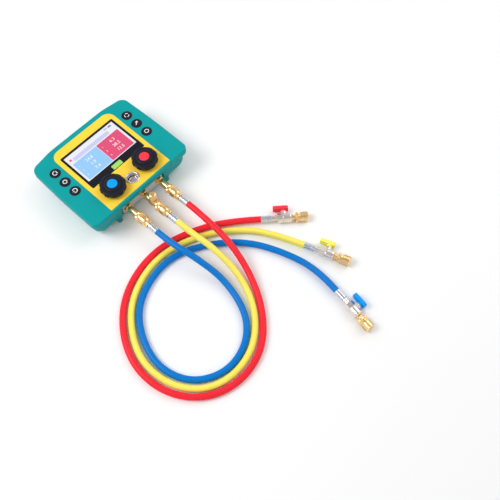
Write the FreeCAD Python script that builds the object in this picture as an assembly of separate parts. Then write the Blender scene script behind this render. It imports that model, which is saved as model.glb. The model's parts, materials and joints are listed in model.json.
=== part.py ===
import FreeCAD, Part
import math
import os
from FreeCAD import Vector

# Refrigerant manifold gauge with its three charging hoses, in millimetres.
# It lies on its back: X across the face, +Y towards the top edge, +Z out of the face.
# The origin is under the middle of the gauge and its fittings, on the table.

# Case
case_side = 26.0              # flank past the middle of the buttons
case_depth = 52.0             # back face to front face
foot_height = 2.0
wall = 2.6                    # moulded walls
face_wall = 2.8               # wall behind the front face
parting_depth = 11.0          # front face down to the joint of the two shells
lip_overhang = 1.2            # front shell past the rear shell at the joint
top_flat_width = 116.0        # straight stretch of the top edge
shoulder_inset = 3.0          # the two top corners inside the widest place
shoulder_drop = 7.0           # the corners below the top edge
flank_drop = 84.0             # widest place below the top edge
bottom_inset = 0.5            # the two bottom corners inside the widest place
top_bend_reach = 9.0          # the bend starts this far either side of its point
top_corner_radius = 15.0
flank_reach = 34.0
bottom_corner_radius = 12.0
corner_growth = 0.2           # corners grow this much per millimetre drawn in
face_edge_radius = 3.0
side_draft = 3.8              # rear wall leans in this far down to its knee
knee_height = 24.0            # knee above the back face
back_roll = 17.0              # rear edge rolls in this far below the knee
back_roll_steps = 3

# Manifold block, ports and valves
port_spacing = 35.7
port_height = 26.0            # port axis above the back face
block_width = 92.0
block_length = 42.0
block_height = 24.0
block_setback = 6.0           # block front behind the bottom lip
gallery_radius = 3.0
side_port_reach = 27.0        # tips of the side ports past the bottom lip
middle_port_reach = 38.0      # tip of the middle port past the bottom lip
flare_thread_radius = 5.5     # quarter inch flare, seven sixteenths thread
flare_bore_radius = 2.4
flare_nose_length = 3.0
port_hex = 14.0               # across flats
port_hex_length = 5.0
port_spigot_length = 10.0
valve_row_rise = 31.3         # valve axes above the bottom lip
valve_drop = 26.1             # and below the screen's frame
bonnet_hex = 18.0
bonnet_hex_height = 7.0
bonnet_neck_radius = 6.4
bonnet_depth = 6.0            # bonnet thread inside the block
stem_radius = 3.0
stem_screw_radius = 2.4
piston_radius = 5.0
piston_lift = 3.0             # from closed to fully open
piston_floor = 1.5            # solid end of the piston under its bore
valve_seat_height = 6.0       # bottom of the valve bore above the block's underside

# Knobs
knob_radius = 22.4
knob_height = 15.5
knob_gap = 1.6                # knob above the yellow panel
knob_lobes = 10
knob_scallop_radius = 7.0
knob_scallop_depth = 1.6
knob_cap_radius = 8.6
knob_cap_height = 1.8
knob_stem_depth = 12.0

# Sight glass
sight_rise = 25.0             # centre above the bottom lip
sight_ring_radius = 12.0
sight_ring_wall = 3.2
sight_ring_stand = 1.5
sight_nut_radius = 7.8
sight_nut_height = 7.0
sight_lens_radius = 5.4
sight_lens_height = 2.5

# Front panel, screen and badge
panel_side = 8.0              # panel past the screen's frame
panel_head = 16.6
panel_top_margin = 11.0
panel_bottom_margin = 4.3
panel_corner_radius = 16.0
panel_thickness = 1.8
panel_stand = 0.4             # panel proud of the face
screen_width = 108.0          # five inch panel
screen_height = 64.8
screen_border = 4.0
screen_foot_band = 15.2       # dark band under the screen
bezel_corner_radius = 2.0
bezel_thickness = 1.2
bezel_stand = 0.4
window_thickness = 0.9
module_rim = 2.6              # display module past the picture
badge_width = 20.0
badge_height = 9.4
badge_thickness = 0.6
badge_margin = 0.7            # badge above the lower edge of the band

# Buttons
button_offset = 15.0          # middle of the buttons past the panel
button_pitch = 25.1
button_drop = 3.6             # middle row below the middle of the screen
buttons_per_side = 3
button_radius = 7.2
button_stand = 1.6            # button top above the face
button_dish = 0.7
button_travel = 0.8
button_flange = 1.2
button_ring_width = 1.8
button_ring_stand = 1.1
button_ring_seat = 0.8

# Electronics
board_rim = 1.0               # board past the keypad mats
board_thickness = 1.6
mat_width = 20.0
mat_thickness = 1.1
board_post_radius = 3.2
board_pin_radius = 1.4        # staked pin through the board
board_pin_stand = 0.6
board_post_margin = 3.5       # posts beside the display module
board_post_inset = 8.0        # posts inside the board's long edges
sensor_radius = 5.6
sensor_length = 16.0
sensor_spread = 44.0

# Rear shell furniture
battery_radius = 7.2
battery_length = 50.0
battery_nub = 1.2
bay_slack = 0.4               # round the cells
bay_gap = 2.6                 # web between the bay and the bail's pocket
door_rim = 3.0
door_thickness = 2.2
bail_width = 60.0
bail_reach = 38.0
bail_wire_radius = 2.0
bail_drop = 24.0              # bail pivot below the top edge
bail_pocket_margin = 3.0
bail_pin_length = 4.0
bail_bend_radius = 8.0
foot_radius = 6.0
foot_recess = 0.6
foot_spread = 140.0
foot_pitch = 92.0
foot_row_rise = 80.0
shell_screw_spread = 168.0
shell_screw_margin = 2.0      # upper posts clear of the board
shell_screw_bottom_rise = 27.0
shell_post_radius = 5.0
shell_screw_seat = 12.0       # head seat above the back face
guard_spread = 119.2          # across the outer sides of the two port guards
guard_reach = 28.0            # guard's corner, before rounding, past the flat back
guard_width = 18.0
guard_tip_radius = 4.5
guard_height = 30.0
guard_clearance = 0.4         # guard above the back face
outlet_slack = 2.5            # gap in the lower wall, past each side of the block
outlet_sill = 9.0             # lower edge of that gap above the back face
socket_spread = 60.0
socket_width = 17.0
socket_height = 9.0
socket_depth = 14.0
socket_level = 30.0           # above the back face
socket_slot_width = 2.6
socket_slot_height = 1.0
socket_slot_pitch = 7.9

# Screws
screw_head_radius = 2.8
screw_head_height = 2.2
screw_shank_radius = 1.45
block_screw_floor = 5.0       # post left between the head and the block
block_screw_bite = 5.0        # thread inside the block

# Hose ends
coupler_radius = 8.6
coupler_length = 27.4
coupler_engagement = 6.4      # thread of the port inside its coupler
coupler_flange_length = 4.0
coupler_neck_radius = 6.6
far_coupler_length = 21.5
far_flange_length = 3.6
far_thread_radius = 4.95      # open mouth of the coupler, to the thread crests
far_thread_depth = 9.0
tail_head_radius = 4.7
tail_head_length = 4.0
tail_radius = 3.6
tail_bore_radius = 2.2
ferrule_length = 17.4
ferrule_radius = 5.9
ferrule_groove_depth = 0.5
ferrule_groove_width = 1.6
ferrule_grooves = 2
tee_cap_radius = 6.5
tee_cap_height = 17.0
tee_stub_length = 14.0        # stub top above the port axis
tee_collar_height = 8.0
tee_setback = 16.8            # stub axis behind the middle port's tip

# Shut-off valves on the far ends
valve_neck_length = 9.8
valve_neck_radius = 4.8
valve_hex = 14.4
valve_hex_length = 9.0
valve_body_length = 25.0
valve_body_radius = 8.2
valve_ball_radius = 6.4
valve_port_radius = 2.4
valve_seat_bore = 7.0
valve_boss_radius = 5.4
valve_boss_reach = 11.5
valve_stem_radius = 2.4
nipple_length = 6.3           # brass showing between valve and coupler
lever_back = 17.5             # grip from the stem towards the hose
lever_front = 8.5
lever_width = 12.0
lever_thickness = 6.0
lever_reach = 21.0            # outer face from the valve axis
lever_hub_radius = 4.6
lever_corner_radius = 1.5
lever_stem_depth = 6.5

# Hoses
hose_radius = 5.4
hose_bend_share = 0.45        # of the shorter run, taken by each bend

# Clearances
fit = 0.1                     # turned parts that slide or turn in each other
seat_gap = 0.2                # moulded parts set into each other
end_gap = 0.3                 # faces that stand end to end

# Widths and lengths of the face, from what it carries
bezel_width = screen_width + 2 * screen_border
bezel_length = screen_height + screen_border + screen_foot_band
module_width = screen_width + 2 * module_rim
module_length = screen_height + 2 * module_rim
panel_width = bezel_width + 2 * panel_side
button_spread = panel_width + 2 * button_offset
case_width = button_spread + 2 * case_side
case_length = panel_top_margin + panel_head + bezel_length + valve_drop + valve_row_rise
mat_length = button_pitch * (buttons_per_side - 1) + mat_width
board_width = button_spread + mat_width + 2 * board_rim
board_length = mat_length + 2 * board_rim
board_post_spread = module_width + 2 * (seat_gap + board_post_margin + board_post_radius)
board_post_pitch = board_length - 2 * board_post_inset
bay_half_width = battery_length + battery_nub + 2.0
bay_half_length = 2 * battery_radius + 1.0
bay_depth = 2 * (battery_radius + bay_slack)

# Levels
back_z = foot_height
face_z = back_z + case_depth
parting_z = face_z - parting_depth
knee_z = back_z + knee_height
inner_face_z = face_z - face_wall
inner_back_z = back_z + wall
port_z = back_z + port_height
block_bottom_z = port_z - block_height / 2
block_top_z = port_z + block_height / 2
block_screw_seat = block_bottom_z - block_screw_floor
block_screw_tip = block_bottom_z + block_screw_bite
bonnet_bottom_z = block_top_z - bonnet_depth
piston_bottom_z = block_bottom_z + valve_seat_height
piston_top_z = bonnet_bottom_z - piston_lift - 1.0
panel_top_z = face_z + panel_stand
panel_bottom_z = panel_top_z - panel_thickness
bezel_top_z = panel_top_z + bezel_stand
bezel_bottom_z = bezel_top_z - bezel_thickness
flange_bottom_z = inner_face_z - end_gap - button_flange
mat_top_z = flange_bottom_z - button_travel - end_gap / 3
board_top_z = mat_top_z - mat_thickness
board_bottom_z = board_top_z - board_thickness
knob_bottom_z = panel_top_z + knob_gap
knob_top_z = knob_bottom_z + knob_height

# Places along Y: the gauge and its longest fitting are centred on the origin
case_top = (case_length + middle_port_reach) / 2
case_bottom = case_top - case_length
block_front = case_bottom + block_setback
block_back = block_front + block_length
valve_row = case_bottom + valve_row_rise
sight_row = case_bottom + sight_rise
screen_row = case_top - panel_top_margin - panel_head - screen_border - screen_height / 2
button_row = screen_row - button_drop
bail_row = case_top - bail_drop
pocket_row = bail_row - bail_reach - bail_pocket_margin
bay_row = pocket_row - bay_gap - door_rim - bay_half_length
side_port_tip = case_bottom - side_port_reach
middle_port_tip = case_bottom - middle_port_reach
back_inset = lip_overhang + side_draft + back_roll

up = Vector(0, 0, 1)
right = Vector(1, 0, 0)
away = Vector(0, -1, 0)       # out of the ports


def box(low, high):
    size = Vector(*high) - Vector(*low)
    return Part.makeBox(size.x, size.y, size.z, Vector(*low))


def disc(radius, z_low, z_high, x=0.0, y=0.0):
    return Part.makeCylinder(radius, z_high - z_low, Vector(x, y, z_low))


def rod(radius, start, end):
    return Part.makeCylinder(radius, (end - start).Length, start, end - start)


def hex_prism(across_flats, start, axis, length):
    """Hexagon across flats, standing on start and running along axis."""
    turn = FreeCAD.Rotation(up, axis)
    corner = across_flats / math.sqrt(3)
    points = []
    for step in range(7):
        angle = math.radians(60 * step)
        points.append(start + turn.multVec(Vector(corner * math.cos(angle), corner * math.sin(angle), 0)))
    return Part.Face(Part.makePolygon(points)).extrude(axis * length)


def spun(profile, start, axis):
    """Solid of revolution: profile is (distance along axis, radius) pairs, closed along the axis."""
    turn = FreeCAD.Rotation(up, axis)
    along = [distance for distance, radius in profile]
    outline = [(along[0], 0.0)] + list(profile) + [(along[-1], 0.0), (along[0], 0.0)]
    points = [start + turn.multVec(Vector(radius, 0, distance)) for distance, radius in outline]
    return Part.Face(Part.makePolygon(points)).revolve(start, axis, 360)


def rounded_wire(points, radii):
    """Closed outline through points, each corner turned by its own tangent arc."""
    edges = []
    starts = []
    ends = []
    count = len(points)
    for index in range(count):
        corner = points[index]
        before = (points[index - 1] - corner).normalize()
        after = (points[(index + 1) % count] - corner).normalize()
        turn = math.pi - before.getAngle(after)
        tangent = radii[index] * math.tan(turn / 2)
        middle = (before + after).normalize() * (radii[index] / math.cos(turn / 2) - radii[index])
        starts.append(corner + before * tangent)
        ends.append(corner + after * tangent)
        edges.append(Part.Arc(starts[-1], corner + middle, ends[-1]).toShape())
    wire_edges = []
    for index in range(count):
        following = (index + 1) % count
        wire_edges.append(edges[index])
        wire_edges.append(Part.LineSegment(ends[index], starts[following]).toShape())
    return Part.Wire(wire_edges)


def rounded_plate(width, length, radius, z_low, z_high, x=0.0, y=0.0):
    w, h = width / 2, length / 2
    corners = [Vector(x + w, y - h, z_low), Vector(x + w, y + h, z_low),
               Vector(x - w, y + h, z_low), Vector(x - w, y - h, z_low)]
    face = Part.Face(rounded_wire(corners, [radius] * 4))
    return face.extrude(up * (z_high - z_low))


def joined(shapes):
    whole = shapes[0].multiFuse(shapes[1:]) if len(shapes) > 1 else shapes[0]
    return whole.removeSplitter()


def drawn_in(points, inset):
    """The same outline with every side moved inwards by inset."""
    moved = []
    for index, corner in enumerate(points):
        before = (points[index - 1] - corner).normalize()
        after = (points[(index + 1) % len(points)] - corner).normalize()
        half_angle = before.getAngle(after) / 2
        moved.append(corner + (before + after).normalize() * (inset / math.sin(half_angle)))
    return moved


def bend_radius(points, index, reach):
    """Radius of the arc that starts and ends this far from its corner."""
    corner = points[index]
    return reach * math.tan((points[index - 1] - corner).getAngle(points[index + 1] - corner) / 2)


def case_wire(inset, z, shrink=0.0):
    """Outline of the case at one level, drawn in by inset; shrink tightens its corners."""
    half = [(top_flat_width / 2, case_top), (case_width / 2 - shoulder_inset, case_top - shoulder_drop),
            (case_width / 2, case_top - flank_drop), (case_width / 2 - bottom_inset, case_bottom)]
    points = [Vector(x, y, z) for x, y in half] + [Vector(-x, y, z) for x, y in reversed(half)]
    points = drawn_in(points, inset)
    loosen = inset * corner_growth - shrink
    radii = [bend_radius(points, 0, top_bend_reach), top_corner_radius + loosen,
             bend_radius(points, 2, flank_reach), bottom_corner_radius + loosen]
    return rounded_wire(points, radii + radii[::-1])


def rear_form(extra, floor_z):
    """Rear shell's form, drawn in by extra and rolled under down to floor_z."""
    sections = [case_wire(lip_overhang + extra, parting_z, extra)]
    for step in range(back_roll_steps + 1):
        angle = math.radians(90.0 * step / back_roll_steps)
        z = knee_z - (knee_z - floor_z) * math.sin(angle)
        inset = lip_overhang + side_draft + back_roll * (1 - math.cos(angle)) + extra
        sections.append(case_wire(inset, z, extra))
    return Part.makeLoft(sections, True, False)


def pairs(spread, y, second_y=None):
    """Places mirrored left and right, on one row or on two."""
    rows = [y] if second_y is None else [y, second_y]
    return [(side * spread / 2, row) for row in rows for side in (-1, 1)]


shell_screw_places = pairs(shell_screw_spread,
                           button_row + board_length / 2 + shell_screw_margin + shell_post_radius,
                           case_bottom + shell_screw_bottom_rise)
board_post_places = pairs(board_post_spread, button_row + board_post_pitch / 2,
                          button_row - board_post_pitch / 2)
outlet_width = block_width + 2 * outlet_slack
block_screw_places = pairs(block_width - 12.0, block_front + 7.0, block_back - 7.0)
valve_places = pairs(2 * port_spacing, valve_row)
sensor_places = pairs(sensor_spread, block_back)
socket_places = pairs(socket_spread, case_top)
button_places = [(side * button_spread / 2, button_row - button_pitch * (row - 1))
                 for side in (-1, 1) for row in range(buttons_per_side)]


def front_shell():
    outer = Part.Face(case_wire(0.0, parting_z)).extrude(up * parting_depth)
    rim = [edge for edge in outer.Edges if abs(edge.BoundBox.ZMin - face_z) < 0.01]
    outer = outer.makeFillet(face_edge_radius, rim)
    cavity = Part.Face(case_wire(wall + lip_overhang, parting_z, wall))
    cavity = cavity.extrude(up * (inner_face_z - parting_z))
    shell = outer.cut(cavity)
    posts = []
    for x, y in shell_screw_places:
        posts.append(disc(shell_post_radius - 0.5, parting_z, inner_face_z, x, y))
    for x, y in board_post_places:
        posts.append(disc(board_post_radius, board_top_z, inner_face_z, x, y))
        posts.append(disc(board_pin_radius, board_bottom_z - board_pin_stand, board_top_z, x, y))
    shell = joined([shell] + posts)
    cuts = [panel_blank(seat_gap, panel_bottom_z, panel_top_z), module_hole(inner_face_z, face_z)]
    for x, y in shell_screw_places:
        cuts.append(disc(screw_shank_radius + fit / 2, parting_z - 1, inner_face_z - 0.8, x, y))
    for x, y in valve_places:
        cuts.append(disc(bonnet_hex / 2 + 2.0, inner_face_z - 1, face_z, x, y))
    for x, y in button_places:
        cuts.append(disc(button_radius + seat_gap, inner_face_z - 1, face_z + 1, x, y))
        cuts.append(disc(button_ring_radius() + fit, face_z - button_ring_seat, face_z + 1, x, y))
    cuts.append(disc(sight_ring_radius - sight_ring_wall + 1.6 + fit, inner_face_z - 1, face_z, 0, sight_row))
    return shell.cut(Part.makeCompound(cuts))


def rear_shell():
    outer = rear_form(0.0, back_z)
    inside = rear_form(wall, inner_back_z)
    shell = outer.cut(inside)
    extras = []
    for x, y in shell_screw_places:
        extras.append(disc(shell_post_radius, back_z, parting_z, x, y))
    for x, y in block_screw_places:
        extras.append(disc(shell_post_radius, back_z, block_bottom_z, x, y))
    extras.append(bay_box(wall, back_z, back_z + door_thickness + bay_depth + wall))
    pocket_half = bail_width / 2 + bail_pocket_margin
    pocket_top_z = back_z + 2 * bail_wire_radius + 1.4
    extras.append(box((-pocket_half - bail_pin_length - wall, pocket_row - wall, back_z),
                      (pocket_half + bail_pin_length + wall, case_top, pocket_top_z + wall)))
    extras = [extra.common(outer) for extra in extras]
    guards = [port_guard(side) for side in (-1, 1)]
    shell = joined([shell] + extras + guards)
    cuts = [box((-outlet_width / 2, case_bottom - 1, back_z + outlet_sill),
                (outlet_width / 2, case_bottom + back_inset, parting_z + 1))]
    for x, y in shell_screw_places:
        cuts.append(disc(screw_head_radius + seat_gap, back_z - 1, back_z + shell_screw_seat, x, y))
        cuts.append(disc(screw_shank_radius + fit, back_z, parting_z + 1, x, y))
    for x, y in block_screw_places:
        cuts.append(disc(screw_head_radius + seat_gap, back_z - 1, block_screw_seat, x, y))
        cuts.append(disc(screw_shank_radius + fit, back_z, block_bottom_z + 1, x, y))
    cuts.append(bay_box(0.0, back_z + door_thickness, back_z + door_thickness + bay_depth))
    cuts.append(door_blank(seat_gap, back_z - 1, back_z + door_thickness))
    cuts.append(box((-pocket_half, pocket_row, 0), (pocket_half, case_top + 1, pocket_top_z)))
    cuts.append(rod(bail_wire_radius + fit / 2, *bail_axis(fit)))
    for x, y in foot_places():
        cuts.append(disc(foot_radius + fit, back_z - 1, back_z + foot_recess, x, y))
    for x, y in socket_places:
        cuts.append(socket_block(x, seat_gap))
    return shell.cut(Part.makeCompound(cuts))


def port_guard(side):
    """Triangular lug beside the ports, standing out of the rolled lower edge."""
    base = case_bottom + back_inset
    outer_x = side * guard_spread / 2
    z = back_z + guard_clearance
    corners = [Vector(outer_x, base, z), Vector(outer_x, base - guard_reach, z),
               Vector(outer_x - side * guard_width, base, z)]
    return Part.Face(rounded_wire(corners, [0.5, guard_tip_radius, 0.5])).extrude(up * guard_height)


def bay_box(margin, z_low, z_high):
    half = bay_half_width + margin
    depth = bay_half_length + margin
    return box((-half, bay_row - depth, z_low), (half, bay_row + depth, z_high))


def door_blank(margin, z_low, z_high):
    width = 2 * (bay_half_width + door_rim + margin)
    length = 2 * (bay_half_length + door_rim + margin)
    return rounded_plate(width, length, door_rim + margin, z_low, z_high, 0, bay_row)


def foot_places():
    middle = case_bottom + foot_row_rise
    return pairs(foot_spread, middle + foot_pitch / 2, middle - foot_pitch / 2)


def bail_axis(margin):
    reach = bail_width / 2 + bail_pocket_margin + bail_pin_length + margin
    z = back_z + bail_wire_radius + 0.6
    return Vector(-reach, bail_row, z), Vector(reach, bail_row, z)


def socket_block(x, margin):
    face_y = case_top - lip_overhang - side_draft * (parting_z - back_z - socket_level) / (parting_z - knee_z)
    z = back_z + socket_level
    return box((x - socket_width / 2 - margin, face_y - socket_depth - margin, z - socket_height / 2 - margin),
               (x + socket_width / 2 + margin, face_y - 0.4 + 2 * margin, z + socket_height / 2 + margin))


def panel_blank(margin, z_low, z_high):
    """Yellow panel's outline: round top corners, square lower ones."""
    w = panel_width / 2 + margin
    top = case_top - panel_top_margin + margin
    bottom = case_bottom + panel_bottom_margin - margin
    corners = [Vector(w, bottom, z_low), Vector(w, top, z_low), Vector(-w, top, z_low), Vector(-w, bottom, z_low)]
    radii = [0.8, panel_corner_radius + margin, panel_corner_radius + margin, 0.8]
    return Part.Face(rounded_wire(corners, radii)).extrude(up * (z_high - z_low))


def module_hole(z_low, z_high):
    return rounded_plate(module_width + 2 * seat_gap, module_length + 2 * seat_gap, 1.0,
                         z_low - 1, z_high, 0, screen_row)


def bezel_blank(margin, z_low, z_high):
    middle = bezel_bottom() + bezel_length / 2
    return rounded_plate(bezel_width + 2 * margin, bezel_length + 2 * margin, bezel_corner_radius + margin,
                         z_low, z_high, 0, middle)


def bezel_bottom():
    return screen_row - screen_height / 2 - screen_foot_band


def face_panel():
    panel = panel_blank(0.0, panel_bottom_z, panel_top_z)
    cuts = [module_hole(panel_bottom_z, panel_top_z + 1), bezel_blank(seat_gap, bezel_bottom_z, panel_top_z + 1)]
    for x, y in valve_places:
        cuts.append(disc(bonnet_neck_radius + 0.6, panel_bottom_z - 1, panel_top_z + 1, x, y))
    cuts.append(disc(sight_ring_radius - sight_ring_wall + 1.6 + fit, panel_bottom_z - 1, panel_top_z + 1,
                     0, sight_row))
    return panel.cut(Part.makeCompound(cuts))


def screen_bezel():
    plate = bezel_blank(0.0, bezel_bottom_z, bezel_top_z)
    opening = rounded_plate(screen_width, screen_height, 1.0, bezel_bottom_z - 1, bezel_top_z + 1, 0, screen_row)
    badge_seat = badge_blank(fit, bezel_top_z - badge_thickness / 2, bezel_top_z + 1)
    return plate.cut(Part.makeCompound([opening, badge_seat]))


def badge_blank(margin, z_low, z_high):
    y = bezel_bottom() + badge_margin + badge_height / 2
    return rounded_plate(badge_width + 2 * margin, badge_height + 2 * margin, 1.6, z_low, z_high, 0, y)


def badge_plate():
    return badge_blank(0.0, bezel_top_z - badge_thickness / 2, bezel_top_z + badge_thickness / 2)


def display_window():
    return rounded_plate(screen_width - fit, screen_height - fit, 0.9, bezel_bottom_z + fit / 2,
                         bezel_bottom_z + window_thickness, 0, screen_row)


def display_module():
    return rounded_plate(module_width, module_length, 0.8, board_top_z, bezel_bottom_z, 0, screen_row)


def main_board():
    board = rounded_plate(board_width, board_length, 2.0, board_bottom_z, board_top_z, 0, button_row)
    holes = [disc(board_pin_radius + fit, board_bottom_z - 1, board_top_z + 1, x, y) for x, y in board_post_places]
    return board.cut(Part.makeCompound(holes))


def keypad_mat():
    mats = []
    for side in (-1, 1):
        mats.append(rounded_plate(mat_width, mat_length, 3.0, board_top_z, mat_top_z,
                                  side * button_spread / 2, button_row))
    return Part.makeCompound(mats)


def button_ring_radius():
    return button_radius + seat_gap + button_ring_width


def button_bezels():
    rings = []
    for x, y in button_places:
        ring = disc(button_ring_radius(), face_z - button_ring_seat, face_z + button_ring_stand, x, y)
        ring = ring.cut(disc(button_radius + seat_gap, face_z - 2, face_z + 3, x, y))
        top = [edge for edge in ring.Edges if abs(edge.BoundBox.ZMin - face_z - button_ring_stand) < 0.01
               and abs(edge.BoundBox.XLength - 2 * button_ring_radius()) < 0.01]
        rings.append(ring.makeFillet(0.7, top))
    return Part.makeCompound(rings)


def button(x, y):
    """Round key with a dished top and a flange that keeps it behind the face."""
    top = face_z + button_stand
    cap = disc(button_radius, flange_bottom_z, top, x, y)
    flange = disc(button_radius + 1.2, flange_bottom_z, flange_bottom_z + button_flange, x, y)
    key = cap.fuse(flange)
    dish_radius = (button_radius ** 2 / button_dish + button_dish) / 2
    dish = Part.makeSphere(dish_radius, Vector(x, y, top - button_dish + dish_radius))
    return key.cut(dish)


def manifold_block():
    block = box((-block_width / 2, block_front, block_bottom_z), (block_width / 2, block_back, block_top_z))
    corners = [edge for edge in block.Edges if edge.BoundBox.ZLength > block_height - 0.1]
    block = block.makeChamfer(1.5, corners)
    cuts = [rod(gallery_radius, Vector(-block_width / 2 + 4, valve_row - 12, port_z),
                Vector(block_width / 2 - 4, valve_row - 12, port_z))]
    for x in (-port_spacing, 0.0, port_spacing):
        mouth = Vector(x, block_front - 1, port_z)
        cuts.append(rod(flare_thread_radius + fit, mouth,
                        Vector(x, block_front + port_spigot_length + end_gap, port_z)))
        cuts.append(rod(gallery_radius, mouth, Vector(x, valve_row, port_z)))
    for x, y in valve_places:
        cuts.append(disc(piston_radius + fit / 2, piston_bottom_z, block_top_z, x, y))
        cuts.append(disc(bonnet_neck_radius + fit, bonnet_bottom_z - end_gap, block_top_z + 1, x, y))
    cuts.append(disc(sight_lens_radius, port_z, block_top_z + 1, 0, sight_row))
    for x, y in sensor_places:
        cuts.append(rod(gallery_radius, Vector(x, valve_row - 12, port_z), Vector(x, y + 1, port_z)))
    for x, y in block_screw_places:
        cuts.append(disc(screw_shank_radius + fit / 2, block_bottom_z - 1, block_screw_tip + end_gap, x, y))
    return block.cut(Part.makeCompound(cuts))


def valve_bonnets():
    bonnets = []
    for x, y in valve_places:
        body = disc(bonnet_neck_radius, bonnet_bottom_z, panel_top_z, x, y)
        nut = hex_prism(bonnet_hex, Vector(x, y, block_top_z), up, bonnet_hex_height)
        bore = disc(stem_radius + fit / 2, bonnet_bottom_z - 1, panel_top_z + 1, x, y)
        bonnets.append(body.fuse(nut).removeSplitter().cut(bore))
    return Part.makeCompound(bonnets)


def stem(x, y):
    """Turning stem: smooth in the bonnet, a screw below it, and a flat inside the knob."""
    low = bonnet_bottom_z
    shaft = disc(stem_radius, low, knob_bottom_z + knob_stem_depth, x, y)
    screw = disc(stem_screw_radius, piston_bottom_z + piston_floor + piston_lift + end_gap, low, x, y)
    flat = box((x + stem_radius - 0.8, y - stem_radius, knob_bottom_z),
               (x + stem_radius + 1, y + stem_radius, knob_bottom_z + knob_stem_depth + 1))
    return shaft.fuse(screw).removeSplitter().cut(flat)


def piston(x, y):
    """Plunger on the stem's screw; it closes the bore on its seat."""
    body = disc(piston_radius, piston_bottom_z, piston_top_z, x, y)
    bore = disc(stem_screw_radius + fit / 2, piston_bottom_z + piston_floor, piston_top_z + 1, x, y)
    return body.cut(bore)


def knob_cap_top():
    return knob_top_z + knob_cap_height / 4


def knob(x, y):
    """Lobed grip with a stepped top, hollow underneath around its hub."""
    rise = knob_height
    profile = [(0.0, knob_radius - 2.4), (rise * 0.30, knob_radius), (rise * 0.62, knob_radius),
               (rise * 0.80, knob_radius - 1.2), (rise * 0.86, knob_radius - 3.2), (rise * 0.80, knob_radius - 4.4),
               (rise * 0.80, knob_radius - 8.0), (rise * 0.92, knob_radius - 9.0), (rise, knob_radius - 11.0)]
    centre = Vector(x, y, knob_bottom_z)
    body = spun(profile, centre, up)
    scallops = []
    for lobe in range(knob_lobes):
        angle = 2 * math.pi * lobe / knob_lobes
        distance = knob_radius + knob_scallop_radius - knob_scallop_depth
        scallops.append(disc(knob_scallop_radius, knob_bottom_z - 1, knob_top_z + 1,
                             x + distance * math.cos(angle), y + distance * math.sin(angle)))
    ring = disc(knob_radius - 5.0, knob_bottom_z - 1, knob_bottom_z + rise * 0.45, x, y)
    hub = disc(stem_radius + 3.0, knob_bottom_z - 2, knob_top_z, x, y)
    bore = stem_socket(x, y)
    cap_seat = disc(knob_cap_radius + fit, knob_top_z - knob_cap_height * 0.75, knob_top_z + 1, x, y)
    return body.cut(Part.makeCompound(scallops)).cut(ring.cut(hub)).cut(bore).cut(cap_seat)


def stem_socket(x, y):
    radius = stem_radius + fit / 2
    socket = disc(radius, knob_bottom_z - 1, knob_bottom_z + knob_stem_depth + end_gap, x, y)
    flat = box((x + radius - 0.8, y - radius, knob_bottom_z), (x + radius + 1, y + radius, knob_top_z))
    return socket.cut(flat)


def knob_cap(x, y):
    cap = disc(knob_cap_radius, knob_top_z - knob_cap_height * 0.75, knob_cap_top(), x, y)
    rim = [edge for edge in cap.Edges if abs(edge.BoundBox.ZMin - knob_cap_top()) < 0.01]
    return cap.makeFillet(0.4, rim)


def sight_glass_ring():
    inner = sight_ring_radius - sight_ring_wall
    ring = disc(sight_ring_radius, panel_top_z, panel_top_z + sight_ring_stand, 0, sight_row)
    sleeve = disc(inner + 1.6, block_top_z + sight_nut_height - 3, panel_top_z, 0, sight_row)
    well = disc(inner, block_top_z, panel_top_z + 3, 0, sight_row)
    edge_z = panel_top_z + sight_ring_stand
    body = ring.fuse(sleeve).removeSplitter().cut(well)
    rims = [edge for edge in body.Edges if abs(edge.BoundBox.ZMin - edge_z) < 0.01]
    return body.makeFillet(0.6, rims)


def sight_glass_nut():
    nut = disc(sight_nut_radius, block_top_z, block_top_z + sight_nut_height, 0, sight_row)
    hole = disc(sight_lens_radius + fit, block_top_z - 1, block_top_z + sight_nut_height + 1, 0, sight_row)
    return nut.cut(hole)


def sight_glass_lens():
    low = block_top_z + sight_nut_height - sight_lens_height - 1.0
    return disc(sight_lens_radius, low, low + sight_lens_height, 0, sight_row)


def port_profile(length):
    """Male flare end: hexagon's seat at zero, thread, then the cone that seals."""
    nose = flare_nose_length
    return [(0.0, flare_thread_radius), (length - nose, flare_thread_radius), (length, flare_bore_radius + 0.8)]


def port_fitting(x, tip_y):
    start = Vector(x, block_front, port_z)
    length = block_front - tip_y
    body = spun(port_profile(length), start, away)
    nut = hex_prism(port_hex, start, away, port_hex_length)
    spigot = rod(flare_thread_radius, Vector(x, block_front + port_spigot_length, port_z), start)
    bore = rod(flare_bore_radius, Vector(x, block_front + port_spigot_length + 1, port_z),
               Vector(x, tip_y - 1, port_z))
    return body.multiFuse([nut, spigot]).removeSplitter().cut(bore)


def centre_port_tee():
    """Middle port with a capped service stub standing up from it."""
    y = middle_port_tip + tee_setback
    run = port_fitting(0.0, middle_port_tip)
    hub = hex_prism(port_hex - 1.0, Vector(0, y + 7.5, port_z), away, 12.0)
    stub = spun(port_profile(tee_stub_length), Vector(0, y, port_z), up)
    collar = disc(flare_thread_radius + 0.9, port_z, port_z + tee_collar_height, 0, y)
    bore = disc(flare_bore_radius, port_z, port_z + tee_stub_length + 1, 0, y)
    whole = run.multiFuse([hub, stub, collar]).removeSplitter()
    through = rod(flare_bore_radius, Vector(0, block_front + port_spigot_length + 1, port_z),
                  Vector(0, middle_port_tip - 1, port_z))
    return whole.cut(Part.makeCompound([bore, through]))


def tee_cap_base():
    return port_z + tee_collar_height + end_gap


def tee_cap_bore_depth():
    return tee_stub_length - tee_collar_height + 1.0


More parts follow.
